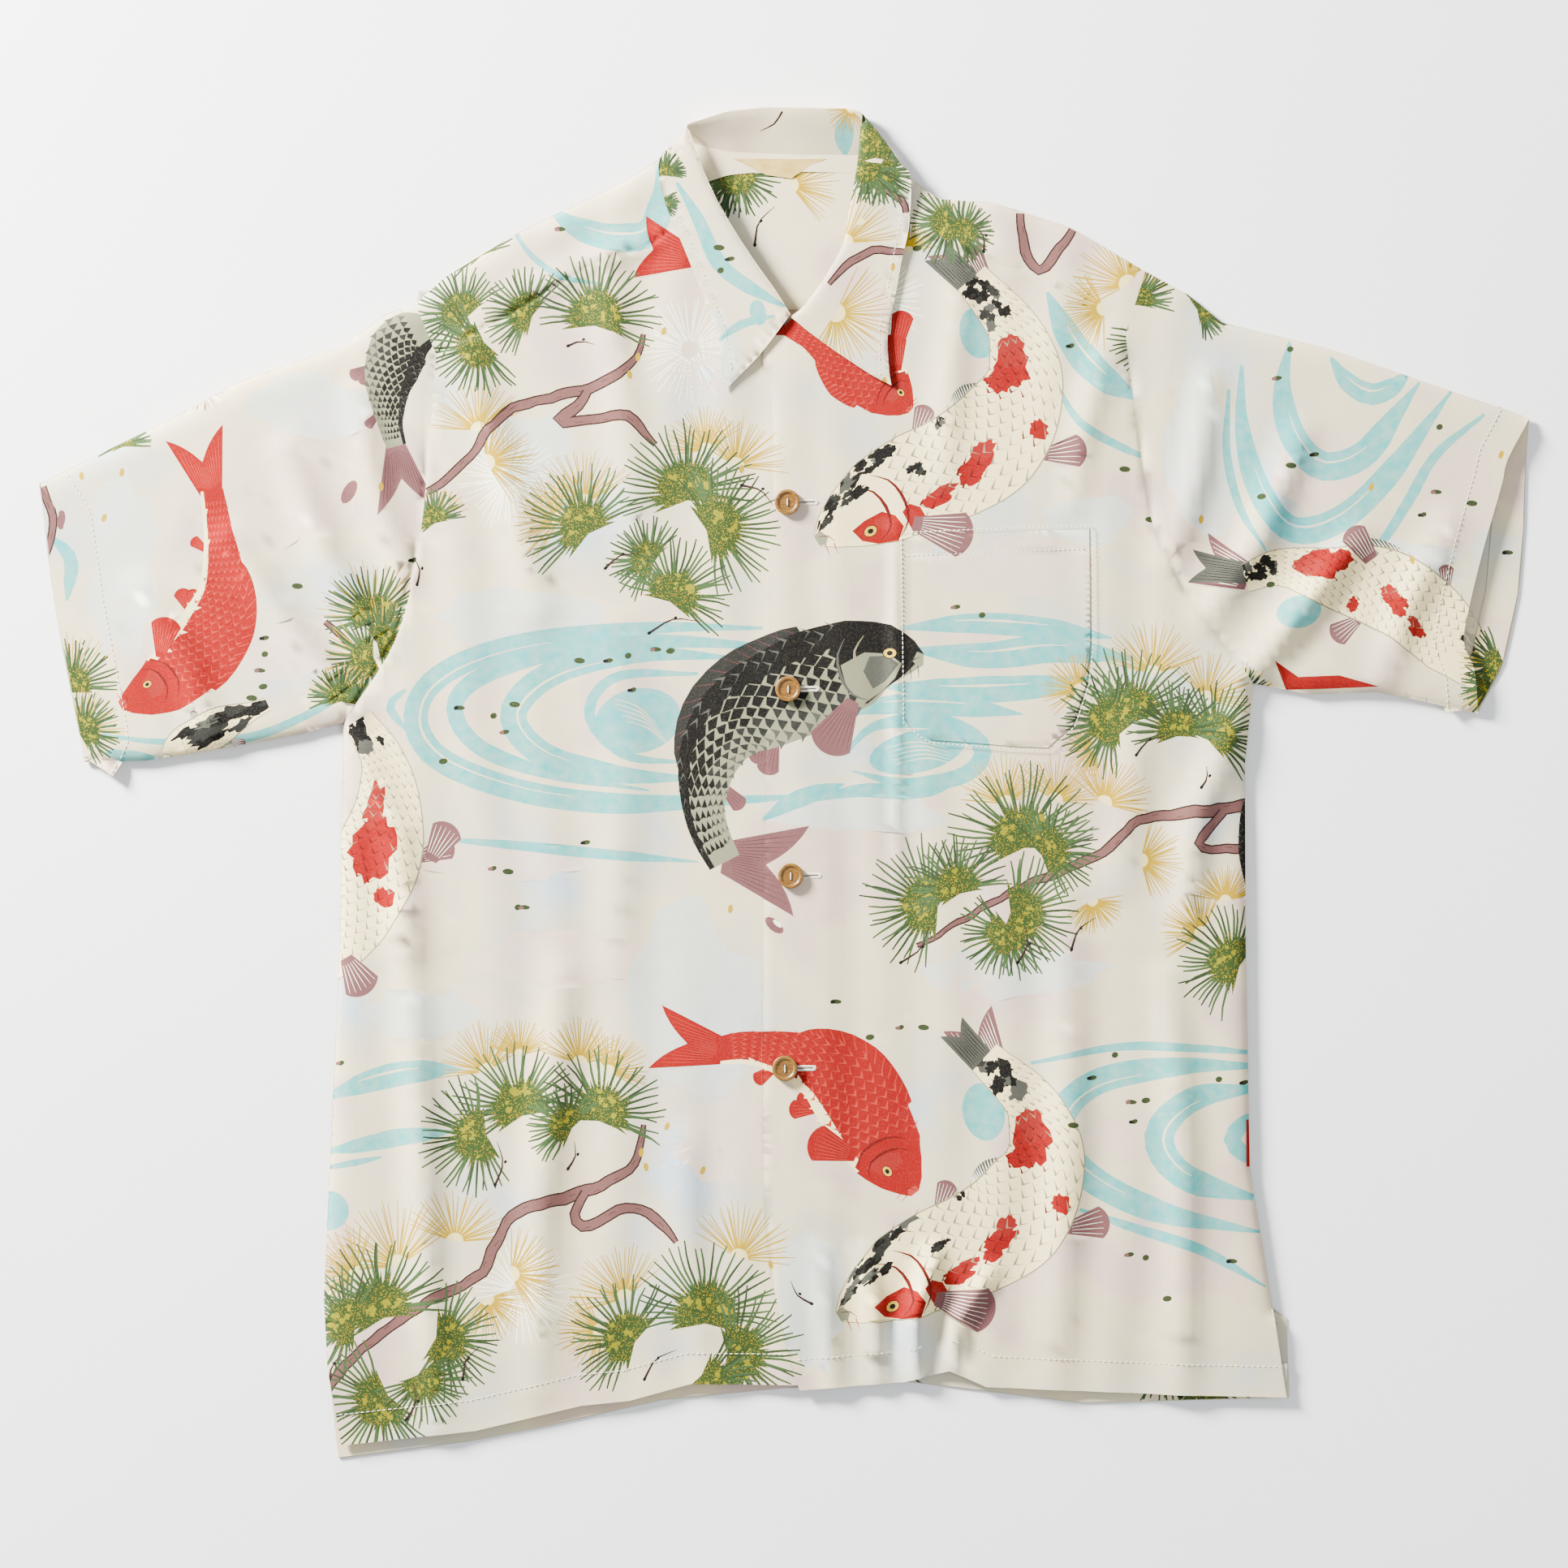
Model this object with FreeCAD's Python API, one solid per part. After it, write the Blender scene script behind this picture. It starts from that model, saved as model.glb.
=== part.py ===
import FreeCAD, Part
import math
import os

# A short-sleeved open-collar shirt of thin printed cloth, buttoned and laid flat on its back.
# Millimetres. +X runs to the wearer's left, +Y to the neck, +Z up off the table it lies on.
# The origin is the middle of the shirt's outline, at table height.
# "left" and "right" are the wearer's.

V = FreeCAD.Vector
os.makedirs("parts", exist_ok=True)

# ---- Driving dimensions -----------------------------------------------------------------------

CLOTH = 0.5                  # one layer of cloth
AIR = 5.0                    # air between the back and the front of the shirt
GAP = 0.3                    # clearance between layers that move against each other
FOLD_GAP = 0.5               # clearance across a fold line
WALL = 1.2                   # width of a side seam or a fold, seen from above
HEM_DEPTH = 22.0             # turned hem at the bottom
CUFF_DEPTH = 20.0            # turned hem at a sleeve's end
FACING_WIDTH = 51.0          # turned-in facing along each front edge

BUTTON_DIAMETER = 15.6
BUTTON_THICKNESS = 2.8
BUTTON_RIM = 1.7             # width of the raised rim
BUTTON_DISH = 0.7            # depth of the dished centre
BUTTON_HOLE = 1.8
BUTTON_HOLE_PITCH = 3.8
THREAD = 0.8
SHANK_DIAMETER = 1.6
BUTTONHOLE_SLIT = 2.2        # a little wider than the shank, which stands in it
BUTTONHOLE_LENGTH = 18.0
PATCH_REACH = 24.0           # cloth about a buttonhole that gives way when it is unbuttoned
PATCH_HEIGHT = 22.0
BUTTONS = [(2.0, 173.5), (2.5, 58.5), (4.0, -56.5), (0.5, -175.0)]

# ---- Levels, each the underside of a layer -----------------------------------------------------

Z_BACK = 0.0
Z_YOKE = Z_BACK + CLOTH
Z_LABEL = Z_YOKE + CLOTH
Z_FACING = Z_YOKE + CLOTH + AIR
Z_FRONT = Z_FACING + CLOTH
Z_FRONT_TOP = Z_FRONT + CLOTH
Z_OVER_FACING = Z_FRONT_TOP + GAP
Z_OVER = Z_OVER_FACING + CLOTH
Z_OVER_TOP = Z_OVER + CLOTH
Z_LEAF_UNDER = Z_OVER_TOP + GAP
Z_LEAF = Z_LEAF_UNDER + CLOTH
Z_BUTTON = Z_OVER_TOP + GAP
Z_BUTTON_TOP = Z_BUTTON + BUTTON_THICKNESS

# ---- Lines that the pieces share ---------------------------------------------------------------

FAR = 1200.0                 # reach of a cutting half-plane

LEFT_FOLD = ((39.0, -376.0), (83.0, 402.0))         # the left front opens about this line
RIGHT_FOLD = ((-52.0, -376.0), (-81.0, 402.0))      # the right front opens about this one
LEFT_ARM_CHORD = ((289.5, 62.0), (223.0, 316.5))    # the left sleeve folds about this line
RIGHT_ARM_CHORD = ((-272.0, 37.5), (-227.5, 296.5))

LEFT_SHOULDER = [(78, 374), (96, 361), (129, 359), (177, 343.5), (223, 316.5)]
RIGHT_SHOULDER = [(-76, 386.5), (-98, 372.5), (-163, 341), (-209, 313), (-227.5, 296.5)]
LEFT_YOKE_SEAM = [(53, 352), (77.5, 339), (144, 316.5), (175.5, 300), (210.5, 278)]
RIGHT_YOKE_SEAM = [(-55, 350), (-81.5, 333.5), (-122, 318.5), (-170, 289), (-214.5, 265)]
LEFT_ARMHOLE = [(210.5, 278), (214, 248), (227, 161.5), (249.5, 115), (289.5, 62)]
RIGHT_ARMHOLE = [(-214.5, 265), (-216.5, 241), (-224, 155), (-239, 90), (-272, 37.5)]
LEFT_SIDE = [(289.5, 62), (284.5, 12), (287.5, -237), (301.5, -323.5)]
RIGHT_SIDE = [(-272, 37.5), (-274, -92), (-284, -317), (-282, -357)]
LEFT_CORNER = (310.0, -378.5)
RIGHT_CORNER = (-273.0, -408.0)
BACK_LEFT_CORNER = (312.0, -379.0)
BACK_RIGHT_CORNER = (-275.0, -416.5)
FRONT_NECK_LEFT = [(53, 352), (45, 326), (26, 303), (4.5, 287)]
FRONT_NECK_RIGHT = [(-55, 350), (-40, 324), (-20, 301), (0, 283)]

LEFT_ROLL = [(46, 396), (42.5, 366.5), (36, 331.5), (24.5, 311), (4.5, 288)]
RIGHT_ROLL = [(-57, 396), (-46, 369.5), (-34.5, 347.5), (-19.5, 324), (3.5, 288.5)]


# ---- Helpers -----------------------------------------------------------------------------------

def edges_of(runs):
    """Edges along runs of points: a list is straight runs, and a tuple is one smooth curve."""
    edges = []
    for run in runs:
        points = [V(x, y, 0) for x, y in run]
        if isinstance(run, tuple):
            curve = Part.BSplineCurve()
            curve.interpolate(points)
            edges.append(curve.toShape())
        else:
            edges += [Part.makeLine(a, b) for a, b in zip(points, points[1:])]
    return edges


def plate(runs, z, thickness=CLOTH):
    """A flat layer of cloth with its underside at z, inside a closed outline."""
    first, last = runs[0][0], runs[-1][-1]
    closing = [] if first == last else [[last, first]]
    face = Part.Face(Part.Wire(edges_of(list(runs) + closing)))
    face.translate(V(0, 0, z))
    return face.extrude(V(0, 0, thickness))


def band(points, width):
    """Outline of a band of one width, to the left of a run of points (right, if width < 0)."""
    normals = []
    for (ax, ay), (bx, by) in zip(points, points[1:]):
        length = math.hypot(bx - ax, by - ay)
        normals.append(((ay - by) / length, (bx - ax) / length))
    inner = []
    for i, (x, y) in enumerate(points):
        (ux, uy), (vx, vy) = normals[max(i - 1, 0)], normals[min(i, len(normals) - 1)]
        reach = width / (1 + ux * vx + uy * vy)
        inner.append((x + (ux + vx) * reach, y + (uy + vy) * reach))
    return [list(points) + inner[::-1]]


def half_plane(line, side, shift=0.0):
    """A block on one side of a line through two points: side +1 is left of it, -1 is right."""
    (ax, ay), (bx, by) = line
    turn = math.degrees(math.atan2(by - ay, bx - ax))
    block = Part.makeBox(2 * FAR, FAR, 100.0, V(-FAR, shift if side > 0 else -FAR - shift, -50.0))
    block.rotate(V(0, 0, 0), V(0, 0, 1), turn)
    block.translate(V(ax, ay, 0))
    return block


def fused(*shapes):
    """Shapes that touch, made one solid."""
    return shapes[0].fuse(list(shapes[1:])).removeSplitter()


def save(name, shape):
    """Write one node, after making sure that its solids are closed."""
    solids = shape.Solids
    if not solids or not all(s.isValid() and s.isClosed() for s in solids):
        raise ValueError(name + " is not made of closed solids")
    body = solids[0] if len(solids) == 1 else Part.Compound(solids)
    body.exportStep("parts/" + name + ".step")
    volume = sum(s.Volume for s in solids) / 1000.0
    print(f"{name:24s} {len(solids)} solid(s) {volume:8.2f} cm3")


# ---- Back of the shirt -------------------------------------------------------------------------

BACK_HEM = [BACK_RIGHT_CORNER, (-194, -406), (-144, -396), (-75, -380.5), (-3, -373.5),
            (74, -369), (184, -382.5), BACK_LEFT_CORNER]


def back():
    """Back panel, turned hem, yoke, and the label at the neck."""
    top = 305.0
    panel = plate([BACK_HEM, [BACK_LEFT_CORNER, LEFT_SIDE[3]], LEFT_SIDE[::-1],
                   [LEFT_ARM_CHORD[0], (226.5, top), (-226, top), RIGHT_ARM_CHORD[0]],
                   RIGHT_SIDE, [RIGHT_SIDE[3], BACK_RIGHT_CORNER]], Z_BACK)
    save("back_panel", panel)
    save("back_hem", plate(band(BACK_HEM, HEM_DEPTH), Z_YOKE).common(room_about(panel)))

    back_neck = ((-62, 393), (-34, 387), (5, 385), (45, 386), (66, 389))
    yoke = plate([[(-228, 293), (229, 293)], [(229, 293), (223, 316.5)], LEFT_SHOULDER[::-1],
                  [(78, 374), back_neck[-1]], back_neck[::-1],
                  [back_neck[0], (-76, 386.5)], RIGHT_SHOULDER], Z_YOKE)
    save("back_yoke", yoke)
    label = [(-28, 384), (-14, 374), (3, 372), (18, 380), (24, 384)]
    save("neck_label", plate([label], Z_LABEL, 0.4))


def room_about(panel):
    """The room under and over a panel's outline, to trim a turned hem or a facing to it."""
    flat = [f for f in panel.Faces if abs(f.normalAt(0, 0).z) > 0.9]
    low = min(flat, key=lambda f: f.CenterOfMass.z).copy()
    low.translate(V(0, 0, -5))
    return low.extrude(V(0, 0, 20))


# ---- Shoulders, fronts and side seams ----------------------------------------------------------

LEFT_FRONT_HEM = [(9.5, -374), (73.5, -369), (102, -362), (125, -372), (247, -377), LEFT_CORNER]
RIGHT_FRONT_HEM = [RIGHT_CORNER, (-190, -399), (-125, -383.5), (-95.5, -380.5), (-57.5, -370),
                   (18, -371)]
LEFT_FRONT_EDGE = [(3.5, 285.5), (-13, 265), (-7, 202.5), (-10.5, 57.5), (-13, -92),
                   (-13, -242), (9.5, -374)]
RIGHT_FRONT_EDGE = [(18, -371), (20, -200), (20, 265), (0, 283)]


def shoulder(name, fold, seam, neck_end):
    """The yoke where it comes over the shoulder, from its fold to the seam on the front."""
    front = plate([fold, [fold[-1], seam[-1]], seam[::-1], [seam[0], neck_end, fold[0]]], Z_FRONT)
    side = -1 if fold[-1][0] > 0 else 1
    save(name + "_shoulder_yoke", front)
    save(name + "_shoulder_fold", plate(band(fold, side * WALL), Z_LABEL, Z_FRONT - Z_LABEL))


def front(side, fold, outline, level, facing_level, hem_points, facing):
    """One front, cut at its fold line into the panel that stays and the flap that opens."""
    whole = plate(outline, Z_FRONT)
    outer = 1 if side == "right" else -1
    panel = whole.common(half_plane(fold, outer, FOLD_GAP / 2))
    save(side + "_front_panel", panel)
    inner_cut = half_plane(fold, -outer, FOLD_GAP / 2)
    flap = whole.common(inner_cut)
    flap.translate(V(0, 0, level - Z_FRONT))

    turned = plate(band(hem_points, HEM_DEPTH), Z_FACING).common(room_about(whole))
    save(side + "_front_hem", turned.common(half_plane(fold, outer, FOLD_GAP / 2)))
    lining = plate([facing], Z_FACING).common(room_about(whole)).common(inner_cut)
    lining.translate(V(0, 0, facing_level - Z_FACING))
    return flap, lining


def patch_box(x, y):
    """The block about a buttonhole, open to the front edge."""
    corner = V(-40, y - PATCH_HEIGHT / 2, Z_OVER_FACING - 2)
    return Part.makeBox(x + PATCH_REACH + 40, PATCH_HEIGHT, 10, corner)


def slit(x, y):
    """The cut of a buttonhole, with round ends; the shank stands in the end by the front edge."""
    r = BUTTONHOLE_SLIT / 2
    z = Z_OVER_FACING - 1
    ends = [Part.makeCylinder(r, 4, V(x + along, y, z)) for along in (0, BUTTONHOLE_LENGTH - 2 * r)]
    middle = Part.makeBox(BUTTONHOLE_LENGTH - 2 * r, 2 * r, 4, V(x, y - r, z))
    return fused(middle, *ends)


def left_front():
    """The front that lies on top: panel, flap, facing and the cloth about its four buttonholes."""
    outline = [LEFT_YOKE_SEAM, tuple(LEFT_ARMHOLE), LEFT_SIDE, [LEFT_SIDE[3], LEFT_CORNER],
               LEFT_FRONT_HEM[::-1], LEFT_FRONT_EDGE[::-1], [LEFT_FRONT_EDGE[0], FRONT_NECK_LEFT[3]],
               tuple(FRONT_NECK_LEFT[::-1])]
    edge = LEFT_FRONT_EDGE
    facing = [(x + FACING_WIDTH, y) for x, y in edge[2:6]]
    facing = edge + [(52, -374)] + facing[::-1] + [(68, 300), (60, 345), (40, 330), (20, 305)]
    flap, lining = front("left", LEFT_FOLD, outline, Z_OVER, Z_OVER_FACING, LEFT_FRONT_HEM, facing)
    patches = []
    for x, y in BUTTONS:
        box = patch_box(x, y)
        patches.append(fused(flap.common(box), lining.common(box)).cut(slit(x, y)))
        flap = flap.cut(box)
        lining = lining.cut(box)
    save("left_front_flap", flap)
    save("left_front_facing", lining)
    save("buttonholes", Part.Compound([p.Solids[0] for p in patches]))


def right_front():
    """The front that lies underneath: panel, flap, facing."""
    outline = [RIGHT_YOKE_SEAM[::-1], tuple(FRONT_NECK_RIGHT), RIGHT_FRONT_EDGE[::-1],
               RIGHT_FRONT_HEM[::-1], [RIGHT_CORNER, RIGHT_SIDE[3]], RIGHT_SIDE[::-1],
               tuple(RIGHT_ARMHOLE[::-1])]
    facing = [(20, -370), (20, 265), (0, 283), (-20, 301), (-40, 324), (-58, 340), (-64, 300),
              (-44, 240), (-38, 150), (-38, -370)]
    flap, lining = front("right", RIGHT_FOLD, outline, Z_FRONT, Z_FACING, RIGHT_FRONT_HEM, facing)
    save("right_front_flap", flap)
    save("right_front_facing", lining)


def side_seam(name, points, width):
    """The seam that joins the back to a front, from the arm down to the vent."""
    save(name, plate(band(points, width), Z_YOKE, Z_FRONT - Z_YOKE))


# ---- Sleeves -----------------------------------------------------------------------------------

LEFT_SLEEVE_TOP = [(223, 316.5), (249.5, 302), (270, 285), (337, 268.5), (396, 248), (460, 226)]
LEFT_CUFF_BACK = [(460, 226), (457, 157), (453, 117), (443, 74), (428, 43.5)]
LEFT_CUFF_FRONT = [(460, 226), (443, 185), (431, 144.5), (422, 107), (420, 87), (428, 43.5)]
LEFT_SLEEVE_BOTTOM = [(428, 43.5), (390.5, 52), (366.5, 57), (324, 55.5), (289.5, 62)]
RIGHT_SLEEVE_TOP = [(-227.5, 296.5), (-246, 290), (-272, 270.5), (-335, 249), (-390, 219.5),
                    (-460, 185.5)]
RIGHT_CUFF_BACK = [(-460, 185.5), (-450, 107), (-432, 13.5)]
RIGHT_CUFF_FRONT = [(-460, 185.5), (-445, 162.5), (-437.5, 110.5), (-422, 29), (-432, 13.5)]
RIGHT_SLEEVE_BOTTOM = [(-432, 13.5), (-394, 14.5), (-350, 21.5), (-298, 31), (-272, 37.5)]


def sleeve(side, chord, top, cuff_back, cuff_front, bottom, armhole):
    """A sleeve that folds at its chord, and the sleeve head between the armhole and the chord."""
    out = 1 if side == "right" else -1
    free = half_plane(chord, out, FOLD_GAP)
    upper = plate([top, cuff_front, bottom], Z_FRONT)
    under = plate([top, cuff_back, bottom], Z_BACK)
    fold = plate(band(top, out * WALL), Z_YOKE, Z_FRONT - Z_YOKE)
    seam = plate(band(bottom, out * WALL), Z_YOKE, Z_FRONT - Z_YOKE)
    save(side + "_sleeve_upper", upper.common(free))
    save(side + "_sleeve_under", under.common(free))
    save(side + "_sleeve_fold_edge", fold.common(free))
    save(side + "_underarm_seam", seam.common(free))
    inside = WALL + 0.3
    for name, cuff, z in (("front", cuff_front, Z_FACING), ("back", cuff_back, Z_YOKE)):
        turned = plate(band(cuff, out * CUFF_DEPTH), z)
        room = plate([shrunk(top, cuff, bottom, inside)], z)
        save(side + "_cuff_" + name, turned.common(room))
    head_outline = [tuple(armhole), [chord[0], chord[1], armhole[0]]]
    save(side + "_sleeve_head", plate(head_outline, Z_FRONT))


def shrunk(top, cuff, bottom, inside):
    """The sleeve's outline with its long edges moved in, to keep a cuff's hem clear of them."""
    inner_top = [(x, y - inside) for x, y in top]
    inner_bottom = [(x, y + inside) for x, y in bottom]
    return inner_top + cuff[1:-1] + inner_bottom


# ---- Pocket ------------------------------------------------------------------------------------

POCKET = [(70.5, 153), (188, 157.5), (188.5, 86.5), (186, 61.5), (177.5, 36.5), (162.5, 22.5),
          (139.5, 23.5), (89.5, 27.5), (81.5, 33.5), (70.5, 42.5)]
POCKET_HEM = 13.0
POCKET_EDGE = 6.0


def pocket():
    """A patch pocket with its top hemmed and its other edges turned under and sewn down."""
    z = Z_FRONT_TOP
    face = plate([POCKET], z + CLOTH)
    save("chest_pocket", face)
    hem = [(70.5, 153), (188, 157.5), (188.3, 157.5 - POCKET_HEM), (70.5, 153 - POCKET_HEM)]
    save("pocket_hem", plate([hem], z))
    sewn = [(188.3, 157.5 - POCKET_HEM - 0.05)] + POCKET[2:] + [(70.5, 153 - POCKET_HEM - 0.05)]
    save("pocket_turned_edge", plate(band(sewn, -POCKET_EDGE), z))
    inset = 1.6
    line = [(70.5 + inset, 152), (70.5 + inset, 43.5), (82.5, 35), (90, 29.2), (139.5, 25.2),
            (161.8, 24.2), (176.2, 37.6), (184.4, 62), (186.8, 86.6), (186.4, 156)]
    save("pocket_stitching", plate(band(line, 0.6), z + 2 * CLOTH, 0.3))


# ---- Collar ------------------------------------------------------------------------------------

COLLAR_BACK = [(48, 413.5), (39, 415.5), (-11, 416.5), (-34.5, 414), (-59.5, 406)]


def collar_back():
    """The collar behind the neck: it stands from the neck seam, rolls over and falls behind."""
    foot, top = 1.05, 6.0
    half_width = 44.0
    profile = [(390, foot), (409, top), (409, top + 2 * CLOTH), (389.5, foot + 1.2)]
    face = Part.Face(Part.makePolygon([V(-half_width, y, z) for y, z in profile + profile[:1]]))
    save("collar_stand", face.extrude(V(2 * half_width, 0, 0)))
    sides = [(-59.5, 406), (-75, 386), (-70, 376), (70, 376), (72.5, 381), (48, 413.5)]
    outline = [COLLAR_BACK, sides]
    under = plate(outline, Z_BACK)
    wall = plate(band(COLLAR_BACK, 1.4), Z_YOKE, 6.5)
    save("collar_fall", fused(under, wall))


def leaf(side, roll, outer, front_edge):
    """One leaf of the collar: its top cloth and its under cloth."""
    outline = [tuple(roll), front_edge, tuple(outer[::-1]), [outer[0], roll[0]]]
    save(side + "_collar_leaf", plate(outline, Z_LEAF))
    save(side + "_undercollar", plate(outline, Z_LEAF_UNDER))


LEFT_LEAF_OUTER = [(61, 396), (77.5, 374), (77, 344.5), (68.5, 300.5), (64, 272), (66, 245.5)]
RIGHT_LEAF_OUTER = [(-64.5, 396), (-77, 374), (-66.5, 341.5), (-49, 297.5), (-39, 262), (-36, 242.5)]


# ---- Buttons -----------------------------------------------------------------------------------

def button(x, y):
    """A two-hole button with a raised rim."""
    radius = BUTTON_DIAMETER / 2
    disc = Part.makeCylinder(radius, BUTTON_THICKNESS, V(x, y, Z_BUTTON))
    rims = [e for e in disc.Edges if e.Curve.TypeId == "Part::GeomCircle"]
    disc = disc.makeFillet(0.7, rims)
    dish = Part.makeCone(radius - BUTTON_RIM - 0.8, radius - BUTTON_RIM, BUTTON_DISH,
                         V(x, y, Z_BUTTON_TOP - BUTTON_DISH))
    disc = disc.cut(dish)
    for dy in (-BUTTON_HOLE_PITCH / 2, BUTTON_HOLE_PITCH / 2):
        disc = disc.cut(Part.makeCylinder(BUTTON_HOLE / 2, 10, V(x, y + dy, Z_BUTTON - 2)))
    return disc


def thread(x, y):
    """The bar of thread between a button's two holes, with its legs in the holes."""
    z = Z_BUTTON_TOP - BUTTON_DISH
    length = BUTTON_HOLE_PITCH + THREAD
    bar = Part.makeBox(THREAD, length, 0.6, V(x - THREAD / 2, y - length / 2, z))
    legs = [Part.makeCylinder(THREAD / 2, z + 0.3 - Z_BUTTON, V(x, y + dy, Z_BUTTON))
            for dy in (-BUTTON_HOLE_PITCH / 2, BUTTON_HOLE_PITCH / 2)]
    return fused(bar, *legs)


def shank(x, y):
    """The thread that stands in the buttonhole and carries a button."""
    return Part.makeCylinder(SHANK_DIAMETER / 2, Z_BUTTON - 0.15 - Z_FRONT_TOP, V(x, y, Z_FRONT_TOP))


# ---- Everything --------------------------------------------------------------------------------

back()
shoulder("left", LEFT_SHOULDER, LEFT_YOKE_SEAM, (57, 388))
shoulder("right", RIGHT_SHOULDER, RIGHT_YOKE_SEAM, (-66, 388))
left_front()
right_front()
side_seam("left_side_seam", LEFT_SIDE, -WALL)
side_seam("right_side_seam", RIGHT_SIDE, WALL)
sleeve("left", LEFT_ARM_CHORD, LEFT_SLEEVE_TOP, LEFT_CUFF_BACK, LEFT_CUFF_FRONT,
       LEFT_SLEEVE_BOTTOM, LEFT_ARMHOLE)
sleeve("right", RIGHT_ARM_CHORD, RIGHT_SLEEVE_TOP, RIGHT_CUFF_BACK, RIGHT_CUFF_FRONT,
       RIGHT_SLEEVE_BOTTOM, RIGHT_ARMHOLE)
pocket()
collar_back()
leaf("left", LEFT_ROLL, LEFT_LEAF_OUTER, [LEFT_ROLL[-1], (33, 265.5), (66, 245.5)])
leaf("right", RIGHT_ROLL, RIGHT_LEAF_OUTER, [RIGHT_ROLL[-1], (-14, 265.5), (-36, 242.5)])
for number, (bx, by) in enumerate(BUTTONS, 1):
    save(f"button_{number}", button(bx, by))
    save(f"button_thread_{number}", thread(bx, by))
save("button_shanks", Part.Compound([shank(bx, by) for bx, by in BUTTONS]))
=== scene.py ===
import math
import random

import bmesh
import bpy
import numpy as np
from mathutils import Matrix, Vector
from mathutils.geometry import delaunay_2d_cdt


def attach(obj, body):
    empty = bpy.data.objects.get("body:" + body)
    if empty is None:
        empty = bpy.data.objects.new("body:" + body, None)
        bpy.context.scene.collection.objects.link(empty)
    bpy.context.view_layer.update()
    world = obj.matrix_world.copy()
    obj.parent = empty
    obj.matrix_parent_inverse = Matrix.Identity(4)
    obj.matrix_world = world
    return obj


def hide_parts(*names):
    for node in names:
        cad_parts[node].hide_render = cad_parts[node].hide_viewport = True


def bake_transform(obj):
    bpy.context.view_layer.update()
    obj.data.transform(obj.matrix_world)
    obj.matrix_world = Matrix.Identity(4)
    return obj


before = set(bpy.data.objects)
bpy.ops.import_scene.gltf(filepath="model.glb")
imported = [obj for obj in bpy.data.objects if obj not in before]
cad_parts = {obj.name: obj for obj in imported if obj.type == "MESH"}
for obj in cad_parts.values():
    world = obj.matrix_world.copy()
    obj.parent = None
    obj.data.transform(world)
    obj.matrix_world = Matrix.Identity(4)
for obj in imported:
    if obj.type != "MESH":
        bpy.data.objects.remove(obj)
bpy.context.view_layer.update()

# A short-sleeved open-collar shirt with a carp and pine print, lying flat on its back.
# Plan positions and heights in this script are in millimetres, in the CAD frame: +X to the
# wearer's left, +Y to the neck, +Z up. They become metres where a mesh is made.

MM = 0.001

CLOTH = 0.4          # thickness of one layer
GRID = 6.0           # spacing of a cloth mesh's points
TILE = 96.0          # a print is triangulated in tiles of this size


# ---- Small geometry ----------------------------------------------------------------------------

def smooth(low, high, value):
    """0 below low, 1 above high, and a soft step between."""
    t = np.clip((value - low) / (high - low), 0.0, 1.0)
    return t * t * (3 - 2 * t)


def spline(points, count, closed=False):
    """Points evenly spread along a smooth line through the given ones."""
    p = np.array(points, float)
    if closed:
        ends = np.vstack([p[-1:], p, p[:2]])
    else:
        ends = np.vstack([2 * p[:1] - p[1:2], p, 2 * p[-1:] - p[-2:-1]])
    t = np.linspace(0, 1, 12, endpoint=False)[:, None]
    fine = [0.5 * (2 * b + (c - a) * t + (2 * a - 5 * b + 4 * c - d) * t**2
                   + (3 * b - a - 3 * c + d) * t**3)
            for a, b, c, d in zip(ends, ends[1:], ends[2:], ends[3:])]
    fine = np.vstack(fine + [p[:1] if closed else p[-1:]])
    run = np.concatenate([[0], np.cumsum(np.hypot(*np.diff(fine, axis=0).T))])
    want = np.linspace(0, run[-1], count, endpoint=not closed)
    return np.column_stack([np.interp(want, run, fine[:, i]) for i in (0, 1)])


def length_of(points):
    return float(np.hypot(*np.diff(np.array(points, float), axis=0).T).sum())


def across(line):
    """Unit normals to the left of a run of points."""
    t = np.gradient(line, axis=0)
    t /= np.maximum(np.hypot(t[:, 0], t[:, 1]), 1e-9)[:, None]
    return np.column_stack([-t[:, 1], t[:, 0]])


def away(x, y, line):
    """Distance of each point from a run of straight pieces."""
    line = np.array(line, float)
    best = np.full(np.shape(x), 1e9)
    for (ax, ay), (bx, by) in zip(line, line[1:]):
        dx, dy = bx - ax, by - ay
        t = np.clip(((x - ax) * dx + (y - ay) * dy) / (dx * dx + dy * dy + 1e-12), 0, 1)
        best = np.minimum(best, np.hypot(x - ax - t * dx, y - ay - t * dy))
    return best


def resample(points, step):
    """A run of straight pieces with a point at least every step, its corners kept."""
    out = []
    for a, b in zip(points, points[1:]):
        n = max(1, math.ceil(math.dist(a, b) / step))
        out += [(a[0] + (b[0] - a[0]) * i / n, a[1] + (b[1] - a[1]) * i / n) for i in range(n)]
    return out + [tuple(points[-1])]


def rounded(points, step=GRID):
    """A smooth run through points, with a point at least every step."""
    return [tuple(p) for p in spline(points, max(3, math.ceil(length_of(points) / step) + 1))]


# ---- Inks --------------------------------------------------------------------------------------

def linear(code):
    """Linear red, green, blue of a colour written as six hexadecimal digits."""
    srgb = [int(code[i:i + 2], 16) / 255 for i in (0, 2, 4)]
    return [c / 12.92 if c < 0.04045 else ((c + 0.055) / 1.055) ** 2.4 for c in srgb]


PLAIN, SPECKLED, WATERY, GROUND = 1.0, 0.75, 0.5, 0.0      # how an ink lies on the cloth

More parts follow.
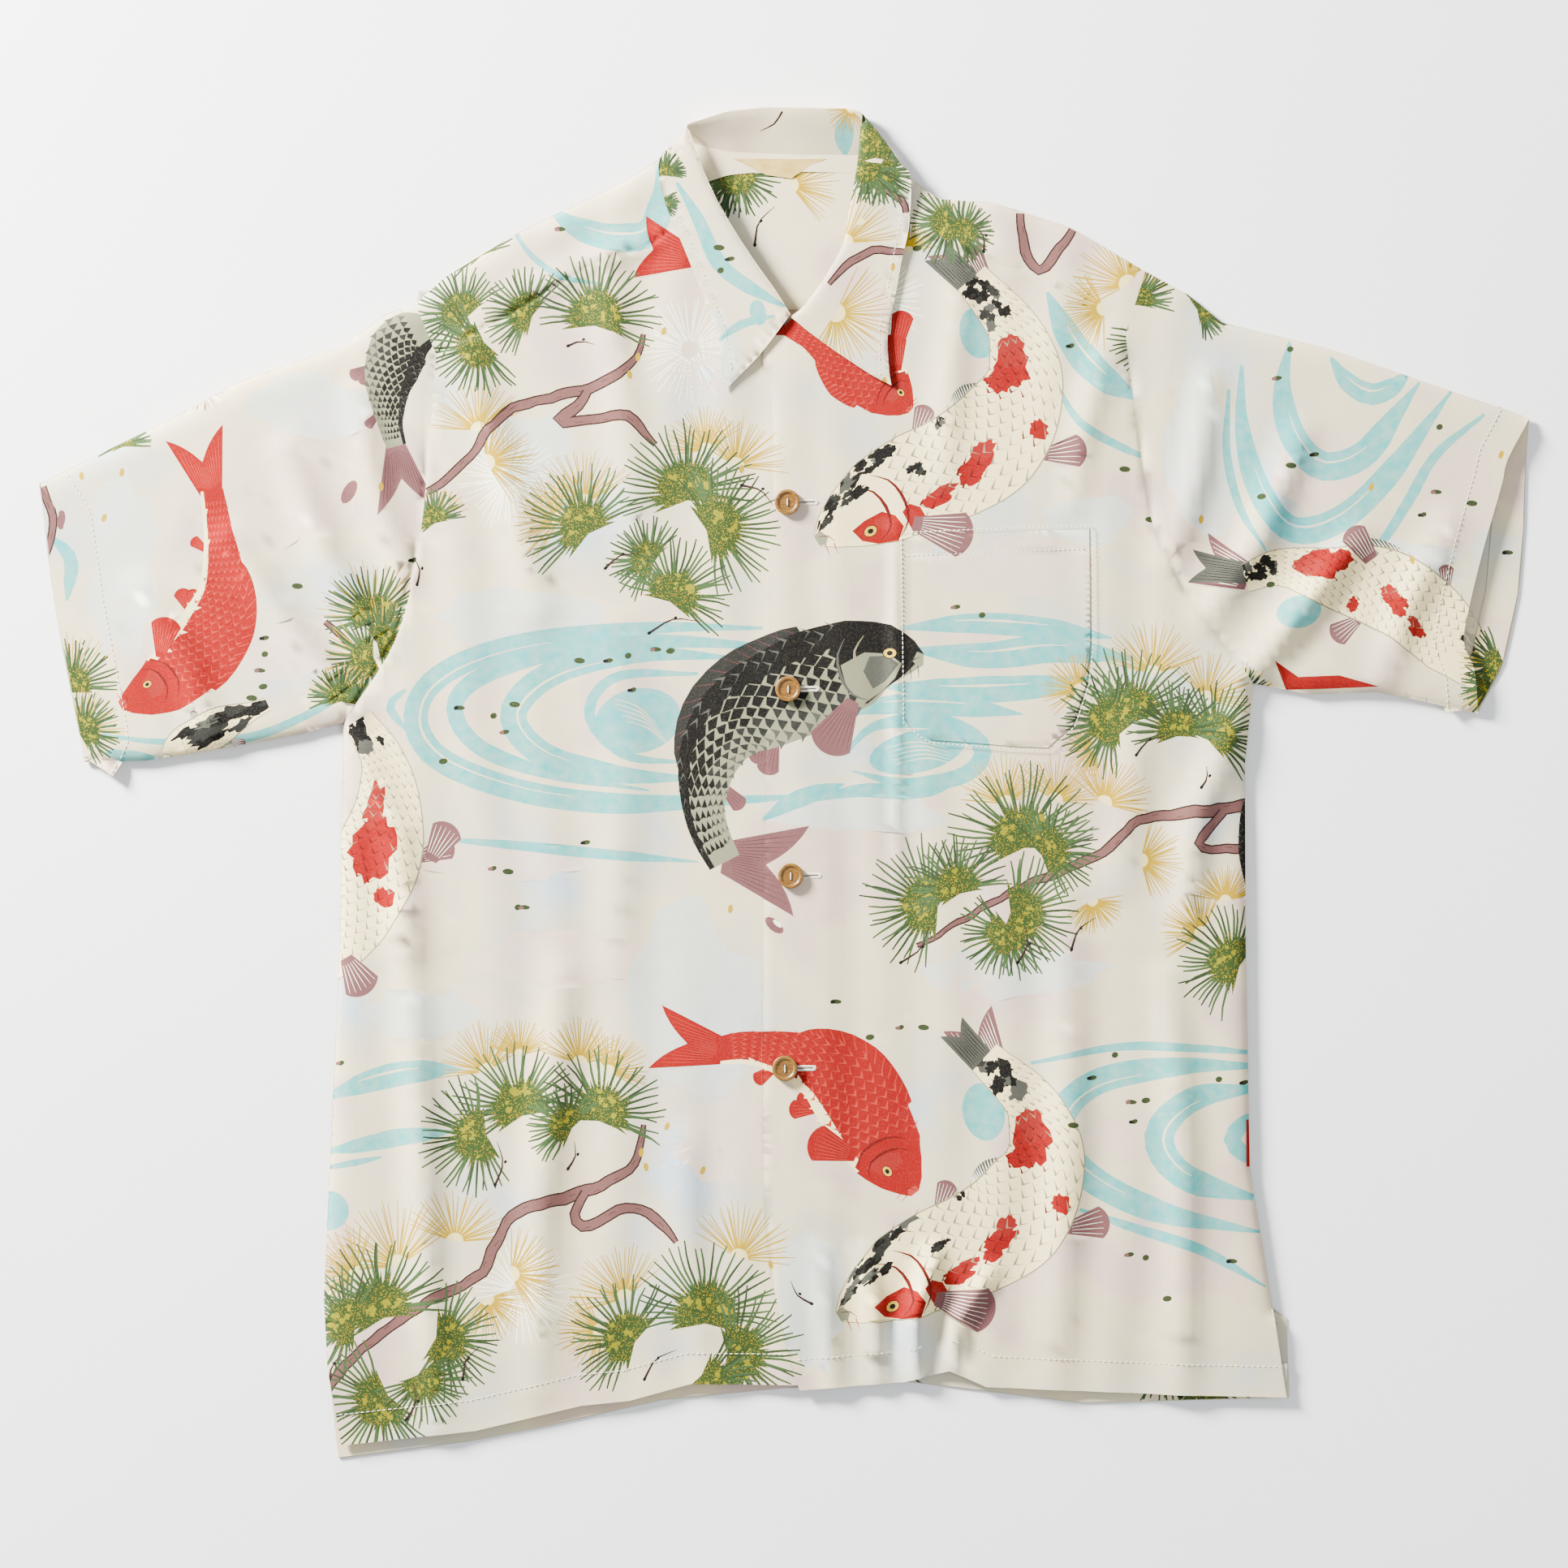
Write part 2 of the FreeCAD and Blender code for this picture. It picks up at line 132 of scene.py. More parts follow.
INKS = {
    "ground": ("DDCCA3", GROUND), "white": ("F9F9E1", PLAIN), "aqua": ("38A7A6", WATERY),
    "red": ("880303", PLAIN), "deep_red": ("570303", PLAIN), "pink": ("A72E25", PLAIN),
    "rose": ("8A1915", PLAIN), "black": ("030303", PLAIN), "dark": ("1F201D", PLAIN),
    "grey": ("45463E", PLAIN), "pale": ("7C7C62", PLAIN), "cream": ("F9E5AB", PLAIN),
    "shade": ("857C60", PLAIN), "pine": ("2F431C", SPECKLED), "gold": ("7A7A12", SPECKLED),
    "needle": ("374F2B", PLAIN), "needle_dark": ("263A1E", PLAIN), "yellow": ("AE8C08", PLAIN),
    "straw": ("EAD68E", PLAIN), "bark": ("6B4743", PLAIN), "bark_dark": ("2A1614", PLAIN),
    "mauve": ("6B4545", PLAIN), "mauve_dark": ("46292B", PLAIN), "olive": ("2A3619", PLAIN),
    "amber": ("C9A233", PLAIN), "blush": ("DEC6B0", WATERY), "sky": ("C9CDC4", WATERY),
}
INK_ROWS = {name: i for i, name in enumerate(INKS)}
INK_TABLE = np.array([linear(code) + [kind] for code, kind in INKS.values()])


class Print:
    """Shapes of ink in the order they are printed, each a closed polygon."""

    def __init__(self):
        self.shapes = []

    def shape(self, points, ink):
        points = np.array(points, float)
        if len(points) > 2:
            self.shapes.append((points, INK_ROWS[ink]))

    def stroke(self, points, widths, ink, step=GRID):
        line = spline(points, max(2, math.ceil(length_of(points) / step) + 1))
        at = np.linspace(0, 1, len(line))
        half = np.interp(at, np.linspace(0, 1, len(widths)), widths)[:, None] / 2
        side = across(line) * half
        self.shape(np.vstack([line + side, (line - side)[::-1]]), ink)

    def ellipse(self, x, y, a, b, turn, ink, count=10):
        t = np.linspace(0, 2 * math.pi, count, endpoint=False)
        c, s = math.cos(math.radians(turn)), math.sin(math.radians(turn))
        u, v = a * np.cos(t), b * np.sin(t)
        self.shape(np.column_stack([x + u * c - v * s, y + u * s + v * c]), ink)

    def fan(self, x, y, aim, spread, radius, base, ink, ray_ink=None, rays=0, dip=0.0, ray=0.5):
        """A fin or tail: rays from a base, spread about an aim; dip notches its middle."""
        a = np.linspace(-spread, spread, 13)
        share = np.abs(a) / spread
        reach = radius * (1 - dip * (1 - share**1.3) - 0.12 * (1 - dip) * share**2)
        angle = np.radians(aim + a)
        tip = np.column_stack([x + reach * np.cos(angle), y + reach * np.sin(angle)])
        side = np.array([-math.sin(math.radians(aim)), math.cos(math.radians(aim))]) * base / 2
        centre = np.array([x, y])
        self.shape(np.vstack([centre - side, tip, centre + side]), ink)
        for k in range(rays):
            f = (k + 0.5) / rays * 2 - 1
            r = radius * (1 - dip * (1 - abs(f) ** 1.3)) * 0.86
            g = math.radians(aim + f * spread * 0.93)
            root = centre + side * f * 0.9
            end = centre + np.array([math.cos(g), math.sin(g)]) * r
            self.stroke([root + (end - root) * 0.18, end], [ray * 0.5, ray, 0.15], ray_ink)


# ---- Fish --------------------------------------------------------------------------------------

BODY_U = [0, 0.03, 0.09, 0.18, 0.32, 0.5, 0.68, 0.84, 1.0]
BACK_HALF = [0.10, 0.34, 0.62, 0.88, 1.0, 0.92, 0.66, 0.42, 0.34]
BELLY_HALF = [0.12, 0.28, 0.52, 0.80, 0.97, 0.84, 0.56, 0.38, 0.30]
SCALE_ROWS = 7

FINS = ((0.5, -0.9, 0.62), (0.53, -0.7, 0.5), (0.78, -0.9, 0.48))
LOOKS = {
    # body, shading of the back, scale inks from back to belly, how much of a scale is inked
    # from back to belly, fin, fin rays, head, cheek, back fin, iris, where its eye is along and
    # across the body, how much fuller it is behind the head, and its small fins: where each is
    # along and across the body, and its size
    "black": dict(body="pale", back="black", inks=("grey", "black", "black", "dark", "grey"),
                  fill=(0.16, 0.95, 0.78, 0.6, 0.4), fin="mauve", ray="mauve_dark",
                  head="black", cheek="grey", dorsal="dark", iris="amber", eye=(0.095, 0.12),
                  full=0.0, fins=FINS),
    "red": dict(body="red", back=None, inks=("pink", "pink", "pink", "pink", "cream"),
                fill=(0.2, 0.2, 0.22, 0.26, 0.45), fin="red", ray="pink",
                head="red", cheek="deep_red", dorsal="red", iris="amber", eye=(0.13, -0.3),
                full=0.0, fins=FINS),
    "koi": dict(body="cream", back=None, inks=("shade", "shade", "shade", "shade", "pale"),
                fill=(0.16, 0.15, 0.14, 0.13, 0.12), fin="mauve", ray="white",
                head="cream", cheek="deep_red", dorsal="grey", iris="amber", eye=(0.13, -0.55), full=0.26,
                fins=((0.56, -0.9, 0.85), (0.34, 0.9, 0.55))),
}


def carp(p, spine, girth, look, back=1, tail=None, dorsal=(0.3, 0.72), patches=(), mottles=(),
         head=True, pectoral=True, seed=0, start=0.0):
    """A fish along a spine from its snout to the root of its tail; girth is half its depth.
    back is the side of its back, +1 left of the spine. tail is (aim, spread, length)."""
    rng = random.Random(seed)
    style = LOOKS[look]
    line = spline(spine, 80)
    normal = across(line) * back
    run = length_of(line)

    def at(u, v):
        u = np.clip(np.asarray(u, float), 0, 1)
        v = np.asarray(v, float)
        half = np.where(v > 0, np.interp(u, BODY_U, BACK_HALF), np.interp(u, BODY_U, BELLY_HALF))
        half = half * (1 + style["full"] * np.interp(u, [0.35, 0.6, 0.8, 0.98], [0, 1, 1, 0.3]))
        k = u * (len(line) - 1)
        base = [np.interp(k, np.arange(len(line)), line[:, i]) for i in (0, 1)]
        n = [np.interp(k, np.arange(len(line)), normal[:, i]) for i in (0, 1)]
        return np.column_stack([base[i] + n[i] * half * v * girth for i in (0, 1)])

    def aim_at(u):
        a, b = at([max(u - 0.02, 0)], [0])[0], at([min(u + 0.02, 1)], [0])[0]
        return math.degrees(math.atan2(b[1] - a[1], b[0] - a[0]))

    if tail:
        x, y = at([0.985], [0])[0]
        p.fan(x, y, tail[0], tail[1], tail[2], girth * 0.62, style["fin"], style["ray"], 15, 0.55)
    if look == "koi" and tail:
        x, y = at([0.985], [0.3])[0]
        p.fan(x, y, tail[0] + 14, 16, tail[2], girth * 0.5, "grey", "black", 9, 0.35)
    if dorsal:
        u = np.linspace(dorsal[0], dorsal[1], 14)
        rise = (0.14 if look == "koi" else 0.30) * np.sin(np.linspace(0.25, math.pi, 14)) ** 0.7
        outer = at(u + 0.05 * rise, 1 + rise / np.interp(u, BODY_U, BACK_HALF))
        p.shape(np.vstack([at(u, np.full(14, 0.9)), outer[::-1]]), style["dorsal"])
        for k in range(1, 13):
            p.stroke([at([u[k] - 0.02], [0.95])[0], outer[k]], [0.9, 0.3], style["ray"])
    for u, v, size in style["fins"]:
        x, y = at([u], [v])[0]
        p.fan(x, y, aim_at(u) + (back if v > 0 else -back) * 48, 24, girth * size, girth * 0.2,
              style["fin"], style["ray"], 5, 0.0, 0.4)
    edge = np.linspace(start, 1, 34)
    p.shape(np.vstack([at(edge, np.ones(34)), at(edge[::-1], -np.ones(34))]), style["body"])
    if look == "koi":
        for v in (0.985, -0.985):
            p.stroke(at(edge, np.full(34, v)), [0.5, 0.9, 0.5], "shade")
    if style["back"]:
        p.shape(np.vstack([at(edge, np.ones(34)),
                           at(edge[::-1], 0.48 + 0.3 * np.abs(edge[::-1] - 0.3))]), style["back"])
    if look == "red":
        p.shape(np.vstack([at(edge[6:], np.full(28, -0.72)),
                           at(edge[:5:-1], np.full(28, -1.0))]), "cream")
    for u, v, du, dv, ink in patches:
        t = np.linspace(0, 2 * math.pi, 22, endpoint=False)
        r = np.array([1 + rng.uniform(-0.24, 0.2) for _ in t])
        p.shape(at(u + du * r * np.cos(t), np.clip(v + dv * r * np.sin(t), -0.97, 0.97)), ink)
    columns = int(run * 0.79 / (girth * 0.21))
    for i in range(columns):
        u = 0.21 + 0.78 * i / columns
        if u < start:
            continue
        du, dv = 0.62 / columns, 1.9 / SCALE_ROWS / 2
        for j in range(SCALE_ROWS + i % 2):
            v = 0.95 - 1.9 * (j + (0 if i % 2 else 0.5)) / SCALE_ROWS
            if abs(v) > 0.96:
                continue
            zone = (0.96 - v) / 1.92 * 4.0 + rng.uniform(-0.3, 0.3)
            k = int(np.clip(round(zone), 0, 4))
            fill = style["fill"][k] * (0.8 + 0.4 * rng.random())
            if u > 0.8 and look == "black":
                fill *= 0.6
            ink = style["inks"][k]
            if look == "koi" and any(abs(u - a) < c * 0.9 and abs(v - b) < d * 0.9
                                     for a, b, c, d, s in patches if s == "red"):
                ink = "deep_red"
            corners_u = [u - du, u, u - du + 2 * du * fill, u]
            p.shape(at(corners_u, [v, v + dv, v - 0.1 * dv, v - dv]), ink)
    if head:
        fish_head(p, at, aim_at, girth, style, look, back)
    for u, v, du, dv, ink in mottles:
        t = np.linspace(0, 2 * math.pi, 16, endpoint=False)
        for _ in range(6):
            cu, cv = u + rng.uniform(-1, 1) * du, v + rng.uniform(-1, 1) * dv
            r = np.array([1 + rng.uniform(-0.45, 0.35) for _ in t]) * rng.uniform(0.35, 0.75)
            p.shape(at(cu + du * r * np.cos(t), np.clip(cv + dv * r * np.sin(t), -0.98, 0.98)),
                    ink if rng.random() < 0.62 else rng.choice(["dark", "grey"]))
    if head:
        fish_eye(p, at, aim_at, girth, style, look)
    if pectoral:
        x, y = at([0.235], [-0.72])[0]
        p.fan(x, y, aim_at(0.235) - back * 42, 25, girth * 1.15, girth * 0.25, style["fin"],
              style["ray"], 8, 0.0, 0.5)


def fish_head(p, at, aim_at, girth, style, look, back):
    """Head, cheek, gill cover, mouth and whiskers."""
    u = np.array([0, 0.05, 0.12, 0.2, 0.235, 0.245, 0.235, 0.2, 0.12, 0.05])
    v = np.array([0.6, 0.98, 0.98, 0.96, 0.6, 0.0, -0.55, -0.94, -0.96, -0.9])
    p.shape(at(u, v), style["head"])
    if look == "black":
        p.shape(at([0.1, 0.16, 0.235, 0.24, 0.21, 0.14, 0.08, 0.06],
                   [0.1, 0.22, 0.1, -0.4, -0.9, -0.93, -0.85, -0.3]), "pale")
        p.shape(at([0.1, 0.15, 0.18, 0.17, 0.12, 0.07], [0.05, 0.1, -0.2, -0.7, -0.75, -0.3]), "grey")
    elif look == "koi":
        p.shape(at([0.09, 0.13, 0.18, 0.205, 0.21, 0.18, 0.13, 0.1],
                   [-0.35, -0.2, -0.18, -0.4, -0.7, -0.97, -0.97, -0.8]), "red")
        p.shape(at([0.15, 0.18, 0.19, 0.17, 0.15], [-0.3, -0.3, -0.5, -0.7, -0.5]), "rose")
        p.shape(at([0.225, 0.25, 0.275, 0.28, 0.25, 0.225], [-0.4, -0.3, -0.45, -0.85, -0.9, -0.8]), "red")
        p.shape(at([0.235, 0.25, 0.262, 0.25], [-0.5, -0.42, -0.6, -0.7]), "rose")
    else:
        p.shape(at([0.12, 0.17, 0.2, 0.18, 0.12], [0.3, 0.3, -0.2, -0.7, -0.5]), "rose")
    for shift, ink in ((0.0, style["cheek"]), (-0.05, "shade" if look == "black" else "deep_red")):
        arc_u = np.array([0.2, 0.235, 0.245, 0.23, 0.19]) + shift
        p.stroke(at(arc_u, [0.62, 0.3, -0.15, -0.6, -0.9]), [0.3, girth * 0.07, 0.3], ink)
    p.shape(at([0, 0.02, 0.03, 0.015, 0], [0.9, 0.5, -0.2, -0.8, -0.9]),
            "pink" if look == "red" else "pale")
    p.stroke(at([0.01, 0.03, 0.04], [0.2, -0.1, -0.6]), [0.3, 0.7, 0.3],
             "deep_red" if look != "black" else "dark")
    for u0, out in ((0.015, 1.5), (0.035, 1.35)):
        x, y = at([u0], [-0.7])[0]
        a = math.radians(aim_at(0.03) - back * 100)
        p.stroke([(x, y), (x + math.cos(a) * girth * 0.16 * out, y + math.sin(a) * girth * 0.16 * out)],
                 [0.7, 0.3], "dark" if look == "black" else "red")


def fish_eye(p, at, aim_at, girth, style, look):
    x, y = at([style["eye"][0]], [style["eye"][1]])[0]
    turn = aim_at(0.09)
    p.ellipse(x, y, girth * 0.145, girth * 0.11, turn, "black" if look == "black" else "deep_red")
    p.ellipse(x, y, girth * 0.125, girth * 0.092, turn, style["iris"])
    p.ellipse(x, y, girth * 0.06, girth * 0.048, turn, "black")


# ---- Pines, branches, water --------------------------------------------------------------------

def ring(x, y, a, b, t):
    """Points about a centre, at the angles t and as far out as a and b."""
    return np.column_stack([x + a * np.cos(t), y + b * np.sin(t)])


def pine(p, x, y, aim, reach, seed=0, needles=31):
    """A fan of pine needles about a ragged, speckled heart."""
    rng = random.Random(seed)
    for turn in aim + np.linspace(-106, 106, needles):
        g = math.radians(turn + rng.uniform(-3, 3))
        bend = g + rng.uniform(-0.06, 0.06)
        outer = reach * rng.uniform(0.86, 1.06)
        p.stroke([(x + 0.3 * reach * math.cos(g), y + 0.3 * reach * math.sin(g)),
                  (x + 0.7 * outer * math.cos(bend), y + 0.7 * outer * math.sin(bend)),
                  (x + outer * math.cos(g), y + outer * math.sin(g))],
                 [1.6, 1.5, 0.9], rng.choice(["needle", "needle", "needle_dark"]), 9)
    t = np.radians(aim + np.linspace(-118, 118, 2 * needles))
    r = np.array([reach * (rng.uniform(0.46, 0.6) if k % 2 else rng.uniform(0.34, 0.4))
                  for k in range(len(t))])
    g = math.radians(aim)
    root = np.array([x, y]) - 0.12 * reach * np.array([math.cos(g), math.sin(g)])
    p.shape(np.vstack([ring(x, y, r, r, t), [root]]), "pine")
    t = np.linspace(0, 2 * math.pi, 9, endpoint=False)
    for _ in range(9):
        g, d = math.radians(aim + rng.uniform(-90, 90)), reach * rng.uniform(0.08, 0.36)
        r = reach * rng.uniform(0.035, 0.07) * np.array([rng.uniform(0.3, 1.3) for _ in t])
        p.shape(ring(x + d * math.cos(g), y + d * math.sin(g), r, r, t), "gold")


def straw(p, x, y, aim, reach, spread=85, needles=30, seed=0, ink="yellow", width=0.85):
    """A fan of thin golden needles, paler at its heart."""
    rng = random.Random(seed)
    if ink == "yellow":
        t = np.radians(aim + np.linspace(-spread, spread, 13))
        s = np.array([reach * rng.uniform(0.26, 0.38) for _ in t])
        p.shape(np.vstack([ring(x, y, s, s, t), [[x, y]]]), "straw")
    for k in range(needles):
        angle = math.radians(aim + ((k + 0.5) / needles * 2 - 1) * spread + rng.uniform(-3, 3))
        inner, outer = reach * 0.17, reach * rng.uniform(0.86, 1.05)
        p.stroke([(x + inner * math.cos(angle), y + inner * math.sin(angle)),
                  (x + outer * math.cos(angle), y + outer * math.sin(angle))],
                 [width, width, width * 0.5], ink, 12)


def branch(p, points, widths, seed=0):
    """A gnarled bough, outlined darker and flecked."""
    rng = random.Random(seed)
    line = spline(points, max(4, int(length_of(points) / 7)))
    wobble = across(line) * np.array([[rng.uniform(-0.9, 0.9)] for _ in line])
    line = line + wobble
    widths = [w * rng.uniform(0.85, 1.15) for w in np.interp(
        np.linspace(0, 1, len(line)), np.linspace(0, 1, len(widths)), widths)]
    p.stroke(line, [w + 1.9 for w in widths], "bark_dark", 5)
    p.stroke(line, widths, "bark", 5)
    for k in range(1, len(line) - 1, 2):
        a, b = line[k], line[min(k + 1, len(line) - 1)]
        side = (across(line)[k] * widths[k] * rng.uniform(-0.3, 0.3))
        p.stroke([a + side, a + side + (b - a) * 0.55], [0.3, 0.7, 0.3], "bark_dark")


def twig(p, x, y, aim, reach, seed=0):
    """A thin bent twig with two buds."""
    rng = random.Random(seed)
    a, b = math.radians(aim), math.radians(aim + rng.choice([-35, 35]))
    mid = (x + reach * 0.5 * math.cos(a), y + reach * 0.5 * math.sin(a))
    end = (mid[0] + reach * 0.5 * math.cos(b), mid[1] + reach * 0.5 * math.sin(b))
    p.stroke([(x, y), mid, end], [1.6, 1.0, 0.4], "bark_dark")
    p.ellipse(x, y, 1.4, 1.1, aim, "black", 7)
    p.ellipse(mid[0] + 1.5, mid[1] + 1.0, 1.2, 0.9, aim, "black", 7)


def flecks(p, places, turn=10):
    """Small floating leaves, olive with a darker tip."""
    for k, (x, y) in enumerate(places):
        p.ellipse(x, y, 3.6 - k % 3 * 0.7, 1.9 - k % 2 * 0.4, turn + 14 * (k % 3 - 1), "olive", 9)
        if k % 2:
            p.ellipse(x - 2.0, y - 0.3, 1.7, 1.2, turn, "black" if k % 4 == 1 else "bark", 7)


def drops(p, places):
    for k, (x, y) in enumerate(places):
        p.ellipse(x, y, 1.6, 2.8, -20 + 15 * (k % 3), "yellow", 8)


def burst(p, x, y, reach, seed=0, ink="white"):
    """A pale round burst of needles, hardly darker than the cloth."""
    straw(p, x, y, 90, reach, 180, 44, seed, ink, 0.9)


# marks on a koi: where along and across its body, half its length and depth, and its ink
KOI_PATCHES = (
    (0.74, 0.42, 0.085, 0.5, "red"), (0.69, 0.6, 0.06, 0.32, "red"), (0.78, 0.3, 0.05, 0.4, "rose"),
    (0.6, -0.6, 0.022, 0.22, "red"), (0.45, -0.12, 0.045, 0.2, "red"), (0.48, 0.02, 0.035, 0.16, "rose"),
    (0.42, -0.3, 0.03, 0.14, "red"), (0.32, -0.42, 0.04, 0.16, "red"), (0.35, -0.3, 0.035, 0.1, "rose"))
KOI_MOTTLES = (
    (0.05, 0.62, 0.03, 0.22, "black"), (0.1, 0.8, 0.035, 0.2, "black"),
    (0.17, 0.82, 0.035, 0.16, "black"), (0.24, 0.86, 0.035, 0.14, "black"),
    (0.31, 0.3, 0.02, 0.12, "black"), (0.41, 0.9, 0.012, 0.1, "black"), (0.9, 0.3, 0.03, 0.45, "black"),
    (0.95, 0.0, 0.03, 0.5, "black"), (0.985, 0.4, 0.02, 0.5, "black"), (0.14, 0.5, 0.04, 0.14, "black"))


def koi(p, spine, girth, back, tail, seed, **more):
    carp(p, spine, girth, "koi", back, tail, dorsal=(0.5, 0.64), patches=KOI_PATCHES, mottles=KOI_MOTTLES,
         seed=seed, **more)


# ---- The print ---------------------------------------------------------------------------------

def water(p, strokes):
    """Broad brush strokes of water, each a line and its width, with a dry streak in the widest."""
    for line, width in strokes:
        width *= 1.4
        p.stroke(line, [2.0, width * 0.8, width, width * 0.85, 1.0], "aqua")
        if width > 13:
            run = spline(line, 24)
            p.stroke(run[6:17] + across(run)[6:17] * width * 0.14, [0.4, 1.6, 0.4], "ground")


def wash(p, places):
    """Pale clouds of colour under everything else."""
    for k, (x, y, a, b, ink) in enumerate(places):
        rng = random.Random(k)
        t = np.linspace(0, 2 * math.pi, 18, endpoint=False)
        s = np.array([rng.uniform(0.75, 1.15) for _ in t])
        p.shape(ring(x, y, a * s, b * s, t), ink)


def blobs(p, places, ink="aqua"):
    for x, y, a, b in places:
        p.ellipse(x, y, a, b, 12, ink, 22)


def fronts_print():
    """Fish, pines, boughs and water over the two fronts, the pocket and the shoulders."""
    p = Print()
    wash(p, ((-133, -107, 60, 18, "blush"), (-173, -47, 50, 14, "blush"), (-58, -132, 40, 60, "sky"),
             (-33, -217, 34, 30, "blush"), (42, -17, 60, 14, "sky"), (142, 133, 50, 18, "blush"),
             (-163, 103, 50, 20, "sky"), (217, -217, 34, 18, "blush"), (142, -117, 60, 16, "sky"),
             (-223, -142, 40, 16, "sky"), (-53, 293, 30, 30, "blush"), (97, 183, 20, 40, "sky"),
             (17, -317, 20, 50, "sky"), (187, 163, 30, 16, "sky"), (-158, 203, 30, 26, "sky")))
    for x, y, r, s in ((-58, 268, 32, 1), (-43, -217, 42, 2), (-170, 188, 30, 3), (-48, 253, 30, 4),
                       (-163, -312, 32, 5), (112, -124, 22, 6), (57, 298, 30, 7)):
        burst(p, x, y, r, s, "white" if s % 2 else "blush")
    water(p, (
        ([(-13, 96), (-83, 96), (-163, 86), (-210, 68), (-227, 43), (-213, 16), (-163, -4), (-103, -12),
          (-33, -10), (22, -7)], 11), ([(10, 83), (-73, 88), (-133, 83), (-183, 68), (-203, 48),
          (-188, 23), (-143, 6), (-83, -4)], 8),
        ([(-33, 78), (-93, 80), (-143, 68), (-167, 43), (-148, 18), (-103, 6), (-48, 3)], 12),
        ([(-53, 68), (-103, 66), (-120, 43), (-98, 18), (-58, 13)], 5),
        ([(-210, -34), (-163, -38), (-113, -43), (-53, -48)], 5),
        ([(72, 96), (117, 99), (162, 96), (202, 90)], 10),
        ([(77, 83), (122, 79), (167, 83), (217, 77)], 13),
        ([(62, 60), (107, 58), (157, 60), (190, 66)], 12),
        ([(32, 43), (67, 49), (107, 48), (147, 43)], 10),
        ([(37, 18), (57, 36), (97, 38), (122, 23), (112, 6), (77, 0), (42, 8)], 8),
        ([(17, -10), (47, -4), (87, -4), (117, 8)], 7),
        ([(-13, -22), (7, -10), (37, 0)], 8),
        ([(152, -172), (207, -162), (257, -163), (302, -167)], 4),
        ([(297, -174), (242, -174), (192, -184), (170, -207), (182, -237), (227, -262), (297, -277)], 13),
        ([(297, -187), (252, -194), (231, -217), (247, -242), (297, -257)], 13),
        ([(297, -202), (282, -210), (277, -222), (297, -237)], 8),
        ([(182, -262), (217, -274), (257, -287), (297, -310)], 5),
        ([(-283, -194), (-258, -184), (-228, -177), (-198, -176)], 11),
        ([(-283, -227), (-258, -222), (-233, -217), (-203, -214)], 8),
        ([(-283, -237), (-268, -234), (-248, -230)], 3),
        ([(162, 303), (177, 273), (197, 250), (222, 236)], 13),
        ([(167, 248), (182, 223), (207, 208), (232, 198)], 4),
        ([(-166, 340), (-156, 326), (-138, 313), (-113, 308)], 3),
        ([(-146, 360), (-133, 346), (-108, 337), (-83, 340), (-76, 363), (-78, 383)], 13),
        ([(-73, 338), (-63, 328), (-48, 323)], 4),
        ([(-233, 58), (-243, 48), (-233, 33)], 4)))
    blobs(p, ((-90, 39, 27, 20), (82, 20, 30, 13), (123, -202, 13, 18), (120, 278, 12, 16),
              (-280, -263, 12, 12)))
    for k in range(5):
        p.stroke([(-103, 48), (-88, 43), (-76, 33)] + np.array([k * 2.0 - 3, 5 - k * 3.5]), [0.3, 1.0, 0.2],
                 "ground")
        p.stroke([(62, 18), (82, 22), (100, 18)] + np.array([k * 1.5, 4 - k * 2.5]), [0.3, 0.9, 0.2],
                 "ground")
    # golden fans behind everything
    for x, y, aim, r in (
            (-30, 196, 70, 32), (-48, 206, 110, 26), (-123, 173, 105, 34), (-138, 163, 160, 30),
            (-188, 218, 100, 30), (-183, 198, 20, 30), (-213, 163, 100, 20),
            (227, 68, 90, 32), (260, 53, 60, 28), (182, 58, 150, 24), (192, 23, -160, 20),
            (137, -12, 100, 30), (167, -10, 70, 28), (197, -12, 60, 30), (220, -47, 0, 26),
            (190, -72, -70, 20), (257, -92, 140, 26), (272, -72, 90, 22),
            (-183, -177, 110, 30), (-163, -167, 90, 22), (-126, -172, 85, 28), (-108, -177, 50, 24),
            (-238, -297, 110, 42), (-203, -282, 80, 32), (-168, -302, 10, 30), (-183, -317, -60, 26),
            (-263, -302, 150, 30), (-28, -292, 70, 34), (-98, -317, 120, 34), (-113, -337, 190, 28),
            (212, 308, 130, 34), (197, 293, 190, 26), (242, 293, 60, 24), (77, 328, 90, 20)):
        straw(p, x, y, aim, r, 80, 30, int(abs(x)) + 3)
    branch(p, [(-86, 277), (-96, 257), (-123, 243), (-163, 233), (-183, 217), (-198, 196), (-220, 180)],
           [1.6, 5.0, 6.0, 5.0, 4.4, 4.0, 3.0], 1)
    branch(p, [(-122, 242), (-130, 230), (-141, 222), (-122, 224), (-98, 227), (-88, 219), (-79, 209)],
           [4.4, 5.5, 5.0, 5.0, 6.0, 5.0, 1.6], 2)
    branch(p, [(-86, -210), (-94, -236), (-122, -251), (-163, -263), (-180, -287), (-188, -303),
               (-223, -321), (-253, -342), (-278, -367), (-284, -384)],
           [1.6, 5.0, 6.4, 5.4, 5.0, 5.0, 5.0, 4.6, 4.6, 4.0], 3)
    branch(p, [(-122, -252), (-129, -267), (-122, -272), (-98, -262), (-80, -267), (-66, -282)],
           [4.6, 5.6, 4.6, 5.0, 5.6, 1.6], 4)
    branch(p, [(297, -10), (257, -17), (222, -21), (206, -34), (190, -46), (152, -61),
               (117, -80), (82, -100)], [6.0, 6.0, 5.4, 5.0, 4.4, 3.4, 2.6, 1.4], 5)
    branch(p, [(270, -17), (261, -28), (256, -38), (272, -40), (297, -40)], [4.0, 4.6, 4.0, 4.6, 5.0], 6)
